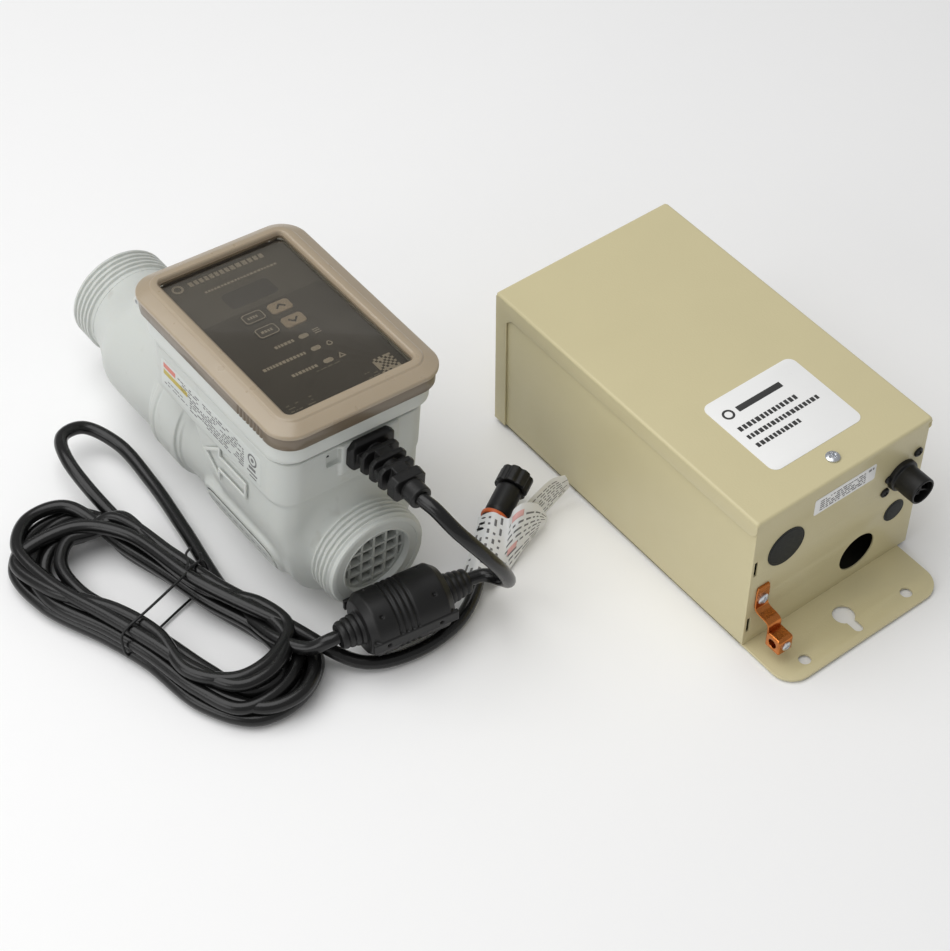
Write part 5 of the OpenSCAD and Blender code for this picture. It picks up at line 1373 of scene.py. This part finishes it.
# Bonding strap: copper strip that lies on the panel, bends out and ends in a set-screw lug
strap_side = np.array([(-0.9, 59.0), (-0.9, 52), (-0.9, 44), (-0.95, 40), (-1.7, 37.4), (-4.0, 35.9),
                       (-7.5, 35.3), (-11, 35.1), (-14, 34.0), (-15.2, 31.5), (-15.3, 27.0)])
strap_fine = spline(np.column_stack([np.zeros(len(strap_side)), strap_side]), 0.8)[:, 1:]
d = np.gradient(strap_fine, axis=0)
d /= np.linalg.norm(d, axis=1)[:, None]
n = np.column_stack([-d[:, 1], d[:, 0]])
strap_rings = []
for k, ((py, pz), (ny, nz)) in enumerate(zip(strap_fine, n)):
    from_end = min(k, 6) / 6
    half = 5.0 + 1.0 * math.sqrt(from_end)
    t = 0.75
    strap_rings.append(np.array([(STRAP_X + sx * (half - (0.3 if abs(st) > 0.5 else 0)), py + ny * st * t,
                                  pz + nz * st * t)
                                 for sx, st in ((-1, -1), (1, -1), (1.0, 0), (1, 1), (-1, 1), (-1.0, 0))]))
piece("bonding_strap", loft(strap_rings), COPPER, "supply", SUPPLY, ["ground_strap"], sharp=35)


def lug_field(x, y, z):
    """Lug block: round-topped body with a wire hole through it sideways."""
    solid = field_box(x, y, z, (6.5, 7.0, 7.0), 1.6)
    solid = smooth_max(solid, (np.abs(y) * 0.7 + z * 0.71) - 8.6, 1.0)
    hole = np.sqrt(y * y + z * z) - 3.6
    port = np.maximum(np.sqrt(x * x + z * z) - 2.6, y)
    return np.maximum(solid, -np.minimum(hole, port))


lug_mid = middle("ground_lug", SUPPLY)
piece("lug_block", moulded(lug_field, (-7.5, -8, -8), (7.5, 8, 8), small * 0.8), COPPER, "supply",
      SUPPLY @ shifted(*lug_mid), ["ground_lug"], sharp=60)
piece("strap_screw", screw_geometry(4.6, 2.4, 2.0, 6), STEEL, "supply", FRONT @ shifted(STRAP_X, 46, 1.6),
      ["ground_screws"], sharp=30)
lug_screw = middle("lug_screw", SUPPLY)
lug_screw_lo = local_box("lug_screw", SUPPLY)[0]
piece("lug_set_screw", screw_geometry(3.8, 1.7, 2.4, 3.4), STEEL, "lug_clamp",
      SUPPLY @ shifted(lug_screw[0], lug_screw_lo[1] + 1.8, lug_screw[2]) @ turned("X", 90), ["lug_screw"],
      sharp=30)

# ---------------------------------------------------------------- carried-over CAD nodes

FINISH = {
    "inlet_grid": WHITE_GRID, "outlet_grid": WHITE_GRID, "anode_plates": TITANIUM_DARK,
          "cathode_plates": TITANIUM,
    "plate_combs": WHITE_GRID, "terminal_rods": TITANIUM, "potting_block": POTTING,
          "temperature_probe": STEEL,
    "flow_switch": BLACK, "flow_paddle": WHITE_GRID, "paddle_pin": STEEL, "housing_screws": STEEL,
    "control_board": BOARD, "board_screws": STEEL, "display_module": SCREEN, "light_pipes": LIGHT_PIPE,
    "hinge_pins": STEEL, "ferrite_core": FERRITE_GREY, "transformer_core": LAMINATION,
          "transformer_winding": WINDING,
    "transformer_feet": STEEL, "transformer_bolts": STEEL, "power_board": BOARD, "board_standoffs": BRASS,
    "rectifier": BLACK, "terminal_block": BLACK, "supply_wires": WIRE,
}
SOFT_EDGE = {"inlet_grid": 0.4, "outlet_grid": 0.4, "plate_combs": 0.3, "potting_block": 0.8,
             "transformer_core": 0.3,
             "transformer_winding": 1.2, "transformer_feet": 0.3, "rectifier": 0.8, "terminal_block": 0.4,
             "flow_paddle": 0.4, "flow_switch": 0.4, "power_board": 0.3}
for node, finish in FINISH.items():
    obj = frame["nodes"][node]
    if obj.hide_render:
        continue
    obj.data.materials.clear()
    obj.data.materials.append(finish)
    if node in SOFT_EDGE:
        rounded = obj.modifiers.new("soft_edges", "BEVEL")
        rounded.width, rounded.segments = SOFT_EDGE[node] * MM, 2
        rounded.limit_method, rounded.angle_limit = "ANGLE", math.radians(40)
        rounded.use_clamp_overlap = True
        rounded.harden_normals = False

# ---------------------------------------------------------------- floor, light and camera

lo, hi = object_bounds()
floor = bpy.data.meshes.new("floor")
reach = 6.0
floor.from_pydata([(-reach, -reach, lo.z), (reach, -reach, lo.z), (reach, reach, lo.z),
                   (-reach, reach, lo.z)], [],
                  [(0, 1, 2, 3)])
ground = bpy.data.objects.new("floor", floor)
bpy.context.scene.collection.objects.link(ground)
FLOOR_LOOK = look("floor_white", (0.93, 0.93, 0.93), 0.7, grain=0.0, mottle=0.004, specular=0.1)
floor.materials.append(FLOOR_LOOK)

world = bpy.data.worlds.new("studio")
bpy.context.scene.world = world
world.use_nodes = True
world.node_tree.nodes["Background"].inputs["Color"].default_value = (1.0, 1.0, 1.0, 1)
world.node_tree.nodes["Background"].inputs["Strength"].default_value = 0.38


def softbox(name, at, aim, size, power):
    lamp = bpy.data.lights.new(name, "AREA")
    lamp.shape, lamp.size, lamp.size_y, lamp.energy = "RECTANGLE", size[0], size[1], power
    obj = bpy.data.objects.new(name, lamp)
    bpy.context.scene.collection.objects.link(obj)
    direction = Matrix.Translation(at).to_translation() - Matrix.Translation(aim).to_translation()
    obj.location = at
    obj.rotation_mode = "QUATERNION"
    obj.rotation_quaternion = direction.to_track_quat("Z", "Y")
    return obj


softbox("overhead", (-0.5, 0.3, 2.0), (0.05, -0.05, 0), (2.2, 2.2), 35)
softbox("left_fill", (-2.0, -0.2, 0.9), (0.05, -0.1, 0), (1.4, 1.0), 10)

camera = bpy.data.cameras.new("camera")
camera.sensor_width, camera.lens = 36.0, 87.2
CAMERA_AT, CAMERA_DOWN, CAMERA_TURN = (-0.563, -1.011, 1.207), 47.9, 37.5
view = bpy.data.objects.new("camera", camera)
bpy.context.scene.collection.objects.link(view)
view.location = CAMERA_AT
view.rotation_euler = (math.radians(90 - CAMERA_DOWN), 0, math.radians(-CAMERA_TURN))
bpy.context.scene.camera = view
bpy.context.scene.view_settings.view_transform = "Standard"
